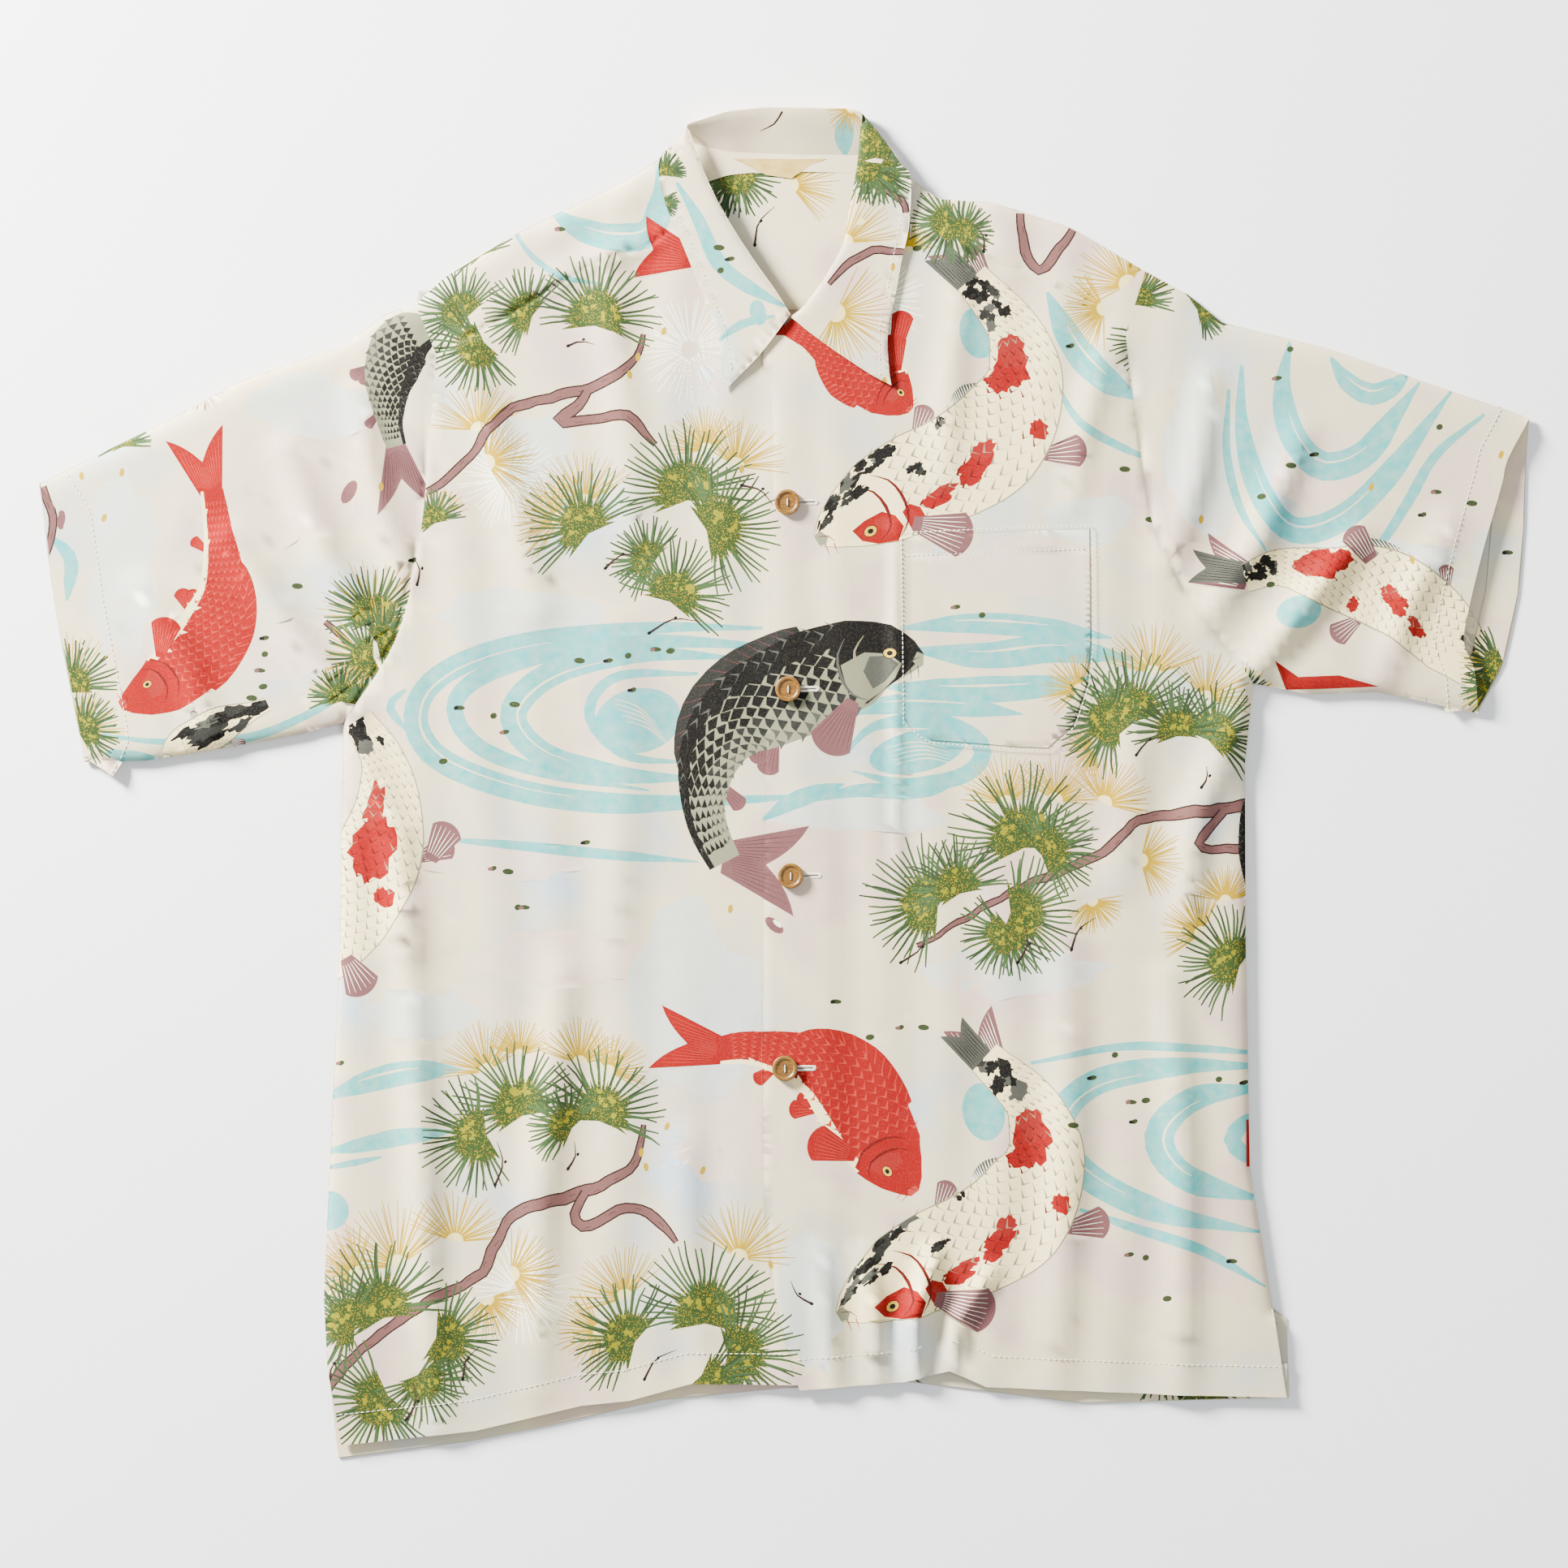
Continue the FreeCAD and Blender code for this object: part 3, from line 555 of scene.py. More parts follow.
    branch(p, [(146, 352), (148, 333), (156, 316), (167, 327), (178, 342)], [4.0, 4.6, 5.6, 4.6, 3.4], 7)
    # fish
    koi(p, [(33.5, -328), (56, -315), (88.5, -296.5), (113, -286), (139, -272), (155, -251), (163, -228.5),
            (158, -207), (149, -191), (124, -168)], 33, 1, (118, 30, 36), 11)
    koi(p, [(20, 150), (42.5, 163), (75, 181.5), (99.5, 192), (125, 206), (142, 227), (150, 249.5),
            (146, 271), (138, 287), (116, 312)], 33, 1, (122, 30, 36), 12)
    carp(p, [(81, -252), (66, -233), (50, -206), (28, -180), (0, -167), (-24, -163), (-40, -165)], 27,
         "red", -1, (168, 25, 50), seed=13)
    carp(p, [(78, 230), (63, 244), (42, 260), (22, 273), (2, 283)], 20, "red", 1, (165, 24, 40),
         seed=14)
    p.fan(70, 273, 78, 24, 19, 9, "red", "pink", 6)
    carp(p, [(86, 77), (62, 78), (41, 72), (20, 64), (-1, 54), (-30, 38), (-45, 15), (-49, -11),
             (-45, -30), (-36, -48)], 32, "black", -1, (-10, 30, 60), dorsal=(0.3, 0.74), seed=15)
    p.fan(-56, 324, 168, 30, 42, 12, "red", "pink", 11, 0.4)
    carp(p, [(-304, -130), (-278, -94), (-254, -56), (-243, -20), (-246, 14), (-262, 40)], 28,
         "koi", 1, None, None,
         ((0.55, 0.2, 0.12, 0.5, "red"), (0.2, 0.2, 0.07, 0.4, "red"), (0.42, -0.5, 0.03, 0.25, "red"),
          (0.7, 0.4, 0.08, 0.3, "rose")), ((0.93, 0.2, 0.05, 0.6, "black"), (1.0, 0.3, 0.05, 0.6, "black")),
         head=False, pectoral=False, seed=16)
    p.fan(-218, -47, 60, 26, 26, 8, "mauve", "white", 6)
    p.fan(-270, -107, -60, 30, 26, 8, "mauve", "white", 6)
    carp(p, [(312, 18), (297, -17), (295, -57), (307, -107)], 15, "black", -1, None, None,
         head=False, pectoral=False, seed=17)
    p.shape([(285, -207), (302, -206), (302, -237), (285, -236)], "red")
    pines = (
        (-198, 290, 140, 30, 1), (-188, 270, 215, 32, 2), (-158, 290, 150, 28, 3), (-116, 287, 80, 40, 4),
        (-123, 158, 125, 38, 5), (-60, 180, 95, 44, 6), (-43, 158, 20, 42, 7), (-83, 138, 150, 26, 8),
        (-68, 116, 60, 36, 9), (214, 43, 115, 42, 10), (202, 38, 170, 34, 11), (264, 30, 50, 34, 12),
        (242, 33, 95, 30, 13), (147, -34, 100, 46, 14), (162, -42, 30, 32, 15),
        (90, -74, 160, 42, 16), (107, -64, 110, 32, 17), (144, -80, -10, 38, 18),
        (137, -92, 230, 30, 19), (277, -110, 150, 36, 20), (-163, -200, 110, 40, 21),
        (-188, -217, 195, 38, 22), (-113, -203, 75, 40, 23), (-133, -210, 140, 26, 24),
        (-248, -324, 105, 44, 25), (-268, -332, 160, 34, 26), (-210, -342, -20, 36, 27),
        (-248, -380, 215, 40, 28), (-223, -367, -60, 30, 29), (-48, -327, 85, 46, 30),
        (-96, -342, 150, 38, 31), (-30, -352, 0, 42, 32), (-48, -367, -40, 32, 33),
        (102, 346, 195, 26, 34), (110, 340, 20, 20, 35), (237, 288, -30, 34, 36),
        (232, 273, -90, 32, 37), (-216, 163, 110, 20, 38), (-188, 328, 120, 22, 39))
    for x, y, aim, reach, seed in pines:
        pine(p, x, y, aim, reach, seed=seed)
    for x, y, aim, r, seed in (
            (-133, 270, 20, 17, 1), (-110, 133, 40, 24, 2), (-83, 93, 30, 34, 3), (-26, 184, -15, 24, 4),
            (-226, 123, 80, 18, 5), (217, 18, 50, 22, 6), (257, -2, 60, 14, 7), (177, -102, 70, 26, 8),
            (72, -110, 35, 30, 9), (-198, -367, 80, 24, 10), (-233, -392, 60, 24, 11),
            (-178, -247, 70, 28, 12), (-133, -237, 60, 18, 13), (-86, -367, 60, 28, 14),
            (17, -320, 150, 20, 15),
            (123, 328, 90, 18, 16), (144, -110, 60, 24, 17), (287, -142, 70, 16, 18),
            (-280, -367, 80, 18, 19)):
        twig(p, x, y, aim, r, seed)
    flecks(p, ((-126, 76), (-108, 76), (-96, 79), (-79, 83), (-70, 82), (-93, 58), (-166, 49), (-172, 32),
               (-179, 42), (-200, 47), (-210, 14), (-179, -52), (-170, -54), (-122, -36), (-164, -76),
               (-138, 342),
               (82, 330), (177, 270), (210, 194), (106, 109), (122, 104), (32, -134), (53, -156),
               (72, -150), (86, -150), (190, -181), (268, -182), (214, -196), (223, -195), (216, -208),
               (178, -210), (213, -290), (223, -292), (276, -294), (236, -317), (-273, -172), (226, 163),
               (284, -184), (204, -167), (-160, -76)))
    for x, y, a, turn, ink in ((-6, -87, 7, -40, "mauve"), (-268, 180, 8, 60, "mauve"),
                               (23, 310, 8, 40, "red")):
        p.ellipse(x, y, a, a * 0.5, turn, ink, 12)
        p.ellipse(x + 2, y + 1, a * 0.5, a * 0.2, turn, "white", 8)
    # painted shade: a dark line along each buttonhole stands for its shaded slit, which is not cut open
    for x, y in BUTTONS:
        p.stroke([(x + 6, y), (x + 17, y)], [0.5, 0.9, 0.5], "dark")
    drops(p, ((-74, 279), (-90, 263), (-95, 252), (-72, -211), (-88, -227), (-85, -236),
              (-50, -238), (-26, 194), (-8, -296), (-6, 356), (-33, -77)))
    return p


def right_sleeve_print():
    """The wearer's right sleeve."""
    p = Print()
    wash(p, ((-318, 183, 50, 40, "blush"), (-408, 133, 22, 60, "sky"), (-293, 233, 40, 20, "sky"),
             (-308, 83, 40, 20, "blush")))
    water(p, (([(-420, 30), (-383, 26), (-333, 28), (-293, 43), (-248, 68)], 4),
              ([(-418, 20), (-403, 16), (-383, 14)], 7), ([(-453, 153), (-440, 138), (-443, 113)], 7)))
    burst(p, -358, 243, 26, 31, "blush")
    carp(p, [(-213, 283), (-234, 273), (-244, 248), (-243, 223), (-239, 208)], 19, "black", 1,
         (-80, 24, 48), None, head=False, pectoral=False, seed=34)
    carp(p, [(-409, 48), (-383, 62), (-365, 77), (-354, 96), (-347, 116), (-347, 138), (-350, 162),
             (-353, 181)], 22, "red", -1, (106, 25, 46), seed=35)
    carp(p, [(-383, 20), (-358, 30), (-338, 40), (-318, 49)], 12, "koi", 1, None, None,
         mottles=((0.5, 0.0, 0.3, 0.6, "black"), (0.8, 0.0, 0.2, 0.6, "black")), head=False,
         pectoral=False, seed=36)
    branch(p, [(-203, 328), (-193, 318), (-176, 319)], [2.4, 3.0, 1.4], 33)
    branch(p, [(-458, 183), (-452, 163), (-457, 138)], [4.4, 4.0, 3.0], 34)
    branch(p, [(-283, 100), (-266, 83), (-256, 66)], [2.0, 3.0, 2.6], 35)
    for x, y, aim, r, seed in ((-253, 103, 95, 32, 1), (-256, 78, 190, 26, 2), (-248, 88, 20, 24, 3),
                               (-273, 53, 90, 20, 4), (-260, 48, 40, 16, 5), (-440, 60, 100, 30, 6),
                               (-433, 33, 40, 24, 7), (-408, 210, 100, 18, 8), (-188, 328, 120, 20, 9)):
        straw(p, x, y, aim + 12, r * 1.1, 75, 24, seed)
        pine(p, x, y, aim, r, seed=seed + 40)
    flecks(p, ((-300, 122), (-320, 90), (-320, 80), (-323, 70), (-321, 60), (-228, 138), (-328, 53)))
    drops(p, ((-419, 164), (-408, 192), (-433, 190), (-238, 30), (-248, 183)))
    for x, y, a, turn in ((-268, 180, 8, 60), (-446, 163, 6, 80)):
        p.ellipse(x, y, a, a * 0.5, turn, "mauve", 12)
    return p


def left_sleeve_print():
    """The wearer's left sleeve."""
    p = Print()
    wash(p, ((327, 193, 26, 26, "blush"), (367, 133, 50, 20, "sky"), (257, 203, 24, 50, "sky"),
             (417, 183, 24, 40, "blush"), (267, 133, 30, 16, "blush")))
    water(p, (([(337, 263), (347, 248), (362, 240), (377, 246), (387, 256)], 10),
              ([(312, 273), (307, 243), (314, 213), (332, 196), (357, 203), (377, 228), (392, 248)], 13),
              ([(282, 258), (282, 223), (290, 188), (304, 163), (322, 156), (347, 166), (372, 190),
                (397, 223), (412, 243)], 12),
              ([(432, 228), (402, 203), (384, 173), (367, 148), (347, 138)], 5),
              ([(274, 243), (273, 203), (282, 168), (297, 143)], 4),
              ([(267, 43), (287, 38), (317, 33)], 4)))
    blobs(p, ((317, 106, 14, 10),))
    carp(p, [(432, 58), (414, 83), (392, 106), (367, 120), (337, 126), (307, 133), (284, 126)], 25,
         "koi", -1, (158, 26, 40), dorsal=(0.5, 0.64), patches=KOI_PATCHES, mottles=KOI_MOTTLES[6:],
         head=False, pectoral=False, seed=42)
    p.fan(362, 138, 125, 24, 24, 9, "mauve", "white", 6)
    p.shape([(302, 76), (310, 58), (342, 59), (367, 60), (342, 67), (317, 66)], "red")
    for x, y, aim, r, seed in ((217, 298, 90, 24, 1), (442, 73, 210, 24, 2), (437, 60, 250, 20, 3),
                               (257, 293, 20, 20, 4), (282, 53, 60, 18, 5)):
        straw(p, x, y, aim + 15, r * 1.15, 75, 24, seed)
        pine(p, x, y, aim, r, seed=seed + 60)
    flecks(p, ((312, 196), (327, 203), (404, 220), (402, 180), (294, 177), (394, 166), (424, 173),
               (304, 250), (312, 268), (447, 143), (300, 123)))
    drops(p, ((362, 183), (257, 163), (387, 138), (442, 203)))
    return p


def collar_print():
    """The collar and its sides."""
    p = Print()
    wash(p, ((-43, 268, 14, 26, "sky"), (17, 403, 30, 8, "sky"), (60, 283, 12, 24, "blush")))
    water(p, (([(-66, 370), (-53, 348), (-38, 318), (-8, 298), (4, 293)], 7),
              ([(-40, 273), (-26, 283), (-6, 288)], 4), ([(34, 408), (37, 398), (36, 388)], 8)))
    blobs(p, ((-16, 290, 5, 8),))
    straw(p, 37, 333, 100, 34, 100, 34, 61)
    straw(p, 32, 290, -30, 34, 95, 34, 62)
    branch(p, [(74, 327), (54, 328), (40, 320), (27, 308)], [2.4, 3.6, 3.6, 1.4], 51)
    branch(p, [(76, 352), (71, 360), (62, 366)], [2.4, 3.2, 2.0], 52)
    for x, y, aim, r, seed in ((56, 388, 90, 24, 1), (60, 376, -40, 22, 2), (52, 398, 130, 18, 3),
                               (50, 380, 250, 24, 6), (-74, 376, 90, 14, 4), (-76, 358, -70, 12, 5)):
        pine(p, x, y, aim, r, seed=seed + 80)
    flecks(p, ((-40, 330), (-33, 323), (-39, 316), (82, 333)))
    drops(p, ((37, 342), (67, 318), (62, 248)))
    p.ellipse(47, 346, 3, 1.6, 40, "straw", 8)
    return p


def stand_print():
    """The collar behind the neck, as cut: along it, and up from its seam."""
    p = Print()
    water(p, (([(38, 0), (37, 10), (38, 24)], 9),))
    straw(p, 41, 28, 250, 16, 70, 16, 71)
    p.stroke([(-1, 25), (-6, 17), (-15, 13)], [1.4, 1.0, 0.4], "bark_dark")
    return p


def inside_print():
    """The cloth seen through the neck, where the yoke's inner layer shows."""
    p = Print()
    straw(p, 4, 370, 40, 30, 95, 36, 61)
    straw(p, 182, 318, 90, 30, 95, 36, 62)
    for x, y, aim, r, seed in ((-33, 380, 200, 30, 1), (-28, 376, -60, 26, 2), (-43, 383, 160, 24, 3),
                               (-120, 330, 90, 28, 4), (140, 320, 90, 28, 5)):
        pine(p, x, y, aim, r, seed=seed + 90)
    twig(p, -18, 333, 80, 28, 3)
    return p


def back_print():
    """The print over the back of the shirt: the same motifs in other places."""
    front = fronts_print()
    p = Print()
    for points, ink in front.shapes:
        if points[:, 1].max() < 300:
            p.shapes.append((points * [-1, 1] + [12, 14], ink))
    return p


# ---- Lines of the shirt ------------------------------------------------------------------------

LEFT_SHOULDER = [(78, 374), (96, 361), (129, 359), (177, 343.5), (223, 316.5)]
RIGHT_SHOULDER = [(-76, 386.5), (-98, 372.5), (-163, 341), (-209, 313), (-227.5, 296.5)]
LEFT_YOKE_SEAM = [(53, 352), (77.5, 339), (144, 316.5), (175.5, 300), (210.5, 278)]
RIGHT_YOKE_SEAM = [(-55, 350), (-81.5, 333.5), (-122, 318.5), (-170, 289), (-214.5, 265)]
LEFT_ARMHOLE = [(210.5, 278), (214, 248), (227, 161.5), (249.5, 115), (289.5, 62)]
RIGHT_ARMHOLE = [(-214.5, 265), (-216.5, 241), (-224, 155), (-239, 90), (-272, 37.5)]
LEFT_SIDE = [(289.5, 62), (284.5, 12), (285, -100), (287.5, -237), (301.5, -323.5)]
RIGHT_SIDE = [(-272, 37.5), (-274, -92), (-284, -317), (-282, -357)]
LEFT_HEM = [(9.5, -374), (73.5, -369), (102, -362), (125, -372), (247, -377), (310, -378.5)]
RIGHT_HEM = [(-273, -408), (-190, -399), (-125, -383.5), (-95.5, -380.5), (-57.5, -370), (18, -371)]
BACK_HEM = [(-275, -416.5), (-194, -406), (-144, -396), (-75, -380.5), (-3, -373.5), (74, -369),
            (184, -382.5), (312, -379)]
LEFT_EDGE = [(3.5, 285.5), (-13, 265.5), (-8, 242), (-6.5, 202.5), (-9, 132.5), (-10.5, 57.5),
             (-13, -92.5), (-13, -242.5), (-5.5, -317.5), (9.5, -374)]
LEFT_NECK = [(53, 352), (45, 326), (26, 303), (3.5, 285.5)]
RIGHT_NECK = [(-55, 350), (-40, 324), (-20, 301), (0, 283)]
LEFT_TOP = [(223, 316.5), (249.5, 302), (270, 285), (337, 268.5), (396, 248), (460, 226)]
LEFT_BOTTOM = [(428, 43.5), (390.5, 52), (366.5, 57), (324, 55.5), (289.5, 62)]
LEFT_CUFF = [(460, 226), (446, 200), (442.5, 185), (431, 144.5), (422, 107.5), (419, 87),
             (425.5, 70.5), (428, 43.5)]
LEFT_CUFF_BACK = [(460, 226), (458, 189), (457, 157.5), (453.5, 117), (444, 74), (428, 43.5)]
RIGHT_TOP = [(-227.5, 296.5), (-246, 290), (-272, 270.5), (-335, 249), (-390, 219.5), (-460, 185.5)]
RIGHT_BOTTOM = [(-432, 13.5), (-394, 14.5), (-350, 21.5), (-298, 31), (-272, 37.5)]
RIGHT_CUFF = [(-460, 185.5), (-445, 162.5), (-437.5, 110.5), (-422, 29), (-432, 13.5)]
RIGHT_CUFF_BACK = [(-460, 185.5), (-450, 107), (-432, 13.5)]
POCKET = [(70.5, 153), (188, 157.5), (188.5, 86.5), (186, 61.5), (177.5, 36.5), (162.5, 22.5),
          (139.5, 23.5), (89.5, 27.5), (81.5, 33.5), (70.5, 42.5)]
LEFT_ROLL = [(48, 413.5), (45.5, 385.5), (42.5, 366.5), (39.5, 350.5), (36, 331.5), (24.5, 311),
             (12.5, 294.5), (4, 287.5)]
RIGHT_ROLL = [(-59.5, 406), (-54, 390), (-46, 369.5), (-34.5, 347.5), (-19.5, 324), (-5, 303.5), (4, 289)]
LEFT_LEAF = [(48, 413.5), (61, 397.5), (72.5, 381), (78, 374), (77, 344.5), (72.5, 322.5),
             (68.5, 300.5), (64, 278.5), (64.5, 256.5), (66, 245.5)]
RIGHT_LEAF = [(-59.5, 406), (-64.5, 396), (-75.5, 387), (-77, 374), (-72.5, 356), (-66.5, 341.5),
              (-58, 321), (-49, 297.5), (-41.5, 278.5), (-38, 256.5), (-36, 242.5)]
LEFT_LEAF_FRONT = [(66, 245.5), (53.5, 252), (33, 265.5), (17, 277), (4, 287.5)]
RIGHT_LEAF_FRONT = [(-36, 242.5), (-28.5, 250.5), (-14, 265.5), (4, 289)]
COLLAR_TOP = [(-59.5, 406), (-34.5, 414), (-11, 416.5), (39, 415.5), (48, 413.5)]
NECK_SEAM = [(-62, 397), (-34.5, 390.5), (9.5, 388.5), (45.5, 388.5), (58, 392)]
BUTTONS = [(2.0, 173.5), (2.5, 58.5), (4.0, -56.5), (0.5, -175.0)]
CLOSED = [LEFT_SIDE, RIGHT_SIDE, LEFT_SHOULDER + LEFT_TOP, RIGHT_SHOULDER + RIGHT_TOP,
          LEFT_BOTTOM, RIGHT_BOTTOM]
SEAMS = [LEFT_YOKE_SEAM, RIGHT_YOKE_SEAM, LEFT_ARMHOLE, RIGHT_ARMHOLE]


# ---- How the cloth lies ------------------------------------------------------------------------

TOP = 6.8            # upper face of the front, where it lies flat
MIDDLE = 2.6         # height at which front and back meet at a side
FOLD_STRENGTH = 3.4  # how much the heights in FOLDS are raised
RIPPLE = 0.6         # height of the fine upright ripples
SEAM_DEPTH = 0.85    # how far a seam sinks into the cloth
SEAM_WIDTH = 1.7
UNDERCOLLAR = 8.95   # lower face of the collar's leaves

# soft folds in the front: a line, its height, its width
FOLDS = [
    ([(-152, -372), (-150, -250), (-138, -120)], 1.6, 13),
    ([(-214, -398), (-222, -250), (-232, -80)], 1.9, 12),
    ([(170, -372), (176, -230), (172, -70)], 1.4, 14), ([(246, -376), (246, -240), (238, -120)], 1.7, 12),
    ([(-196, 268), (-172, 190), (-150, 110)], 1.7, 13), ([(196, 268), (184, 215), (178, 172)], 1.5, 11),
    ([(112, 330), (104, 260), (98, 190)], 1.2, 12), ([(-110, 318), (-98, 230), (-92, 150)], 1.2, 13),
    ([(82, -368), (80, -335), (92, -290)], 3.0, 8), ([(102, -362), (108, -330), (128, -300)], 1.8, 7),
    ([(58, -368), (56, -330), (50, -290)], 1.6, 8), ([(70, 160), (69, 60), (71, -60)], 0.8, 5),
    ([(-266, 44), (-300, 90), (-342, 150)], 2.4, 11), ([(-250, 86), (-282, 140), (-306, 205)], 2.0, 12),
    ([(-236, 130), (-254, 190), (-262, 240)], 1.6, 11), ([(-350, 24), (-366, 70), (-395, 120)], 1.5, 12),
    ([(286, 66), (316, 104), (352, 150)], 2.4, 11), ([(262, 104), (292, 150), (318, 214)], 2.0, 12),
    ([(240, 140), (254, 190), (262, 250)], 1.6, 11), ([(366, 58), (384, 110), (410, 160)], 1.5, 12),
    ([(-262, 20), (-238, -30), (-232, -100)], 1.8, 12), ([(278, 40), (254, -20), (246, -90)], 1.8, 12),
    ([(-52, -376), (-56, -300), (-60, -220)], 1.1, 12), ([(30, -372), (26, -330), (22, -290)], 1.0, 8),
    ([(-104, 96), (-96, 0), (-104, -110)], 0.9, 16), ([(222, 60), (214, 0), (206, -60)], 1.0, 14),
    ([(-70, 340), (-120, 322), (-180, 292)], 0.9, 9), ([(74, 345), (130, 326), (190, 296)], 0.9, 9),
]


def fold_relief(x, y):
    """Soft folds, each a ridge that fades towards its ends, and a slow unevenness."""
    z = 0.28 * np.sin(x / 31 + y / 57) * np.sin(y / 43 - x / 71 + 1.3)
    patchy = 0.5 + 0.5 * np.sin(y / 95 + x / 37)
    z = z + RIPPLE * np.sin(x / 6.3 + 1.7 * np.sin(y / 90)) * patchy * smooth(262, 220, np.abs(x))
    for line, height, width in FOLDS:
        run = resample(line, 10)
        closest = np.full(np.shape(x), 1e9)
        share = np.zeros(np.shape(x))
        for (px, py), s in zip(run, np.linspace(0, 1, len(run))):
            d = np.hypot(x - px, y - py)
            share = np.where(d < closest, s, share)
            closest = np.minimum(closest, d)
        best = away(x, y, line)
        fade = np.sin(np.pi * np.clip(0.12 + 0.76 * share, 0, 1)) ** 0.8
        profile = np.exp(-(best / width) ** 2) - 0.35 * np.exp(-(best / width / 2) ** 2)
        z = z + FOLD_STRENGTH * height * fade * profile
    return z


def nearest(x, y, lines):
    """Distance to the nearest of several lines."""
    d = np.full(np.shape(x), 1e9)
    for line in lines:
        d = np.minimum(d, away(x, y, line))
    return d


def rise(x, y, lines, reach=14.0):
    """0 on a closed edge and 1 beyond its rounded part."""
    d = nearest(x, y, lines)
    return np.sqrt(1 - (1 - np.clip(d / reach, 0, 1)) ** 2)


def near_buttons(x, y):
    """1 away from the buttons, 0 under them."""
    d = np.full(np.shape(x), 1e9)
    for bx, by in BUTTONS:
        d = np.minimum(d, np.hypot(x - bx, y - by))
    return smooth(10, 34, d)


def front_height(x, y):
    """Upper face of the fronts, shoulders and sleeves."""
    e = rise(x, y, CLOSED)
    hem = np.where(x > 14, np.interp(x, *zip(*LEFT_HEM)), np.interp(x, *zip(*RIGHT_HEM)))
    low = smooth(70, 0, y - hem) * 2.4
    cuff = np.maximum(smooth(-392, -440, x), smooth(380, 440, x)) * 1.0
    relief = fold_relief(x, y) * near_buttons(x, y) * smooth(0, 1, np.clip(0.15 + e, 0, 1))
    z = MIDDLE + (TOP - MIDDLE - low - cuff) * e + relief
    seam = nearest(x, y, SEAMS)
    z = z - SEAM_DEPTH * np.exp(-(seam / SEAM_WIDTH) ** 2)
    neck = np.minimum(away(x, y, LEFT_NECK), away(x, y, RIGHT_NECK))
    z = np.minimum(z, 7.4 + 10 * smooth(30, 70, neck))
    return np.maximum(z, 1.6)


def over_height(x, y):
    """The left front, which rides over the right one near its edge."""
    edge = 0.35 * np.exp(-(away(x, y, LEFT_EDGE) / 1.3) ** 2)
    return front_height(x, y) + 1.25 * smooth(46, 24, x) - edge


def back_height(x, y):
    """Upper face of the back, which lies on the table and curls up at its closed sides."""
    e = rise(x, y, CLOSED)
    return CLOTH + 0.1 + (MIDDLE - CLOTH - 0.3) * (1 - e)


def pocket_height(x, y):
    edge = np.clip(away(x, y, POCKET + POCKET[:1]) / 2.2, 0, 1)
    hem = smooth(1.2, 0, np.abs(away(x, y, POCKET[:2]) - 13)) * 0.25
    return over_height(x, y) + 0.5 + 0.9 * np.sqrt(1 - (1 - edge) ** 2) - hem


def leaf_height(x, y):
    """Upper face of the collar's leaves: rounded at the roll, thin at the sewn edges."""
    roll = rise(x, y, [LEFT_ROLL, RIGHT_ROLL, COLLAR_TOP], 5.0)
    sewn = rise(x, y, [LEFT_LEAF, LEFT_LEAF_FRONT, RIGHT_LEAF, RIGHT_LEAF_FRONT], 2.6)
    lift = 1.2 * smooth(30, 0, np.minimum(away(x, y, LEFT_ROLL), away(x, y, RIGHT_ROLL)))
    stitched = np.minimum(away(x, y, LEFT_LEAF + LEFT_LEAF_FRONT),
                          away(x, y, RIGHT_LEAF + RIGHT_LEAF_FRONT))
    dip = 0.22 * np.exp(-((stitched - 6) / 0.8) ** 2)
    wave = 0.35 * np.sin(y / 21 + x / 17)
    drop = 2.5 * smooth(380, 412, y)
    return 9.6 + lift + wave - 1.6 * (1 - roll) - 0.7 * (1 - sewn) - dip - drop


def undercollar_height(x, y):
    roll = rise(x, y, [LEFT_ROLL, RIGHT_ROLL, COLLAR_TOP], 5.0)
    return np.minimum(leaf_height(x, y) - 0.45, UNDERCOLLAR + (1 - roll) * 0.6 - 2.5 * smooth(380, 412, y))


# ---- Materials ---------------------------------------------------------------------------------

def node(tree, kind, settings=None, **inputs):
    """A shader node; an input is a value or another node's output."""
    made = tree.nodes.new(kind)
    for key, value in (settings or {}).items():
        setattr(made, key, value)
    for key, value in inputs.items():
        socket = made.inputs[int(key[1:])] if key[0] == "i" and key[1:].isdigit() else \
            made.inputs[key.replace("_", " ")]
        if isinstance(value, bpy.types.NodeSocket):
            tree.links.new(value, socket)
        else:
            socket.default_value = value
    return made


def mixed(tree, share, a, b, how="MIX"):
    return node(tree, "ShaderNodeMix", {"data_type": "RGBA", "blend_type": how},
                i0=share, i6=a, i7=b).outputs[2]


def maths(tree, operation, a, b=0.0, c=0.0):
    return node(tree, "ShaderNodeMath", {"operation": operation}, i0=a, i1=b, i2=c).outputs[0]


def noise(tree, where, scale, detail=2.0, roughness=0.5):
    return node(tree, "ShaderNodeTexNoise", Vector=where, Scale=scale, Detail=detail,
                Roughness=roughness).outputs["Fac"]


def ramp(tree, value, stops):
    made = node(tree, "ShaderNodeValToRGB", Fac=value)
    elements = made.color_ramp.elements
    while len(elements) < len(stops):
        elements.new(0.5)
    for element, (at, code) in zip(elements, stops):
        element.position = at
        element.color = linear(code) + [1.0]
    return made.outputs["Color"]


def fresh(name):
    material = bpy.data.materials.new(name)
    material.use_nodes = True
    tree = material.node_tree
    return material, tree, tree.nodes["Principled BSDF"], node(tree, "ShaderNodeTexCoord").outputs["Object"]


def weave(tree, where, pitch):
    """Height of a plain weave with one thread in each pitch, from 0 to 1."""
    scale = 2 * math.pi / (20 * pitch)
    runs = [node(tree, "ShaderNodeTexWave", {"wave_type": "BANDS", "bands_direction": d}, Vector=where,
                 Scale=scale, Distortion=0.6, Detail=1.0).outputs["Fac"] for d in ("X", "Y")]
    return maths(tree, "MAXIMUM", *runs)


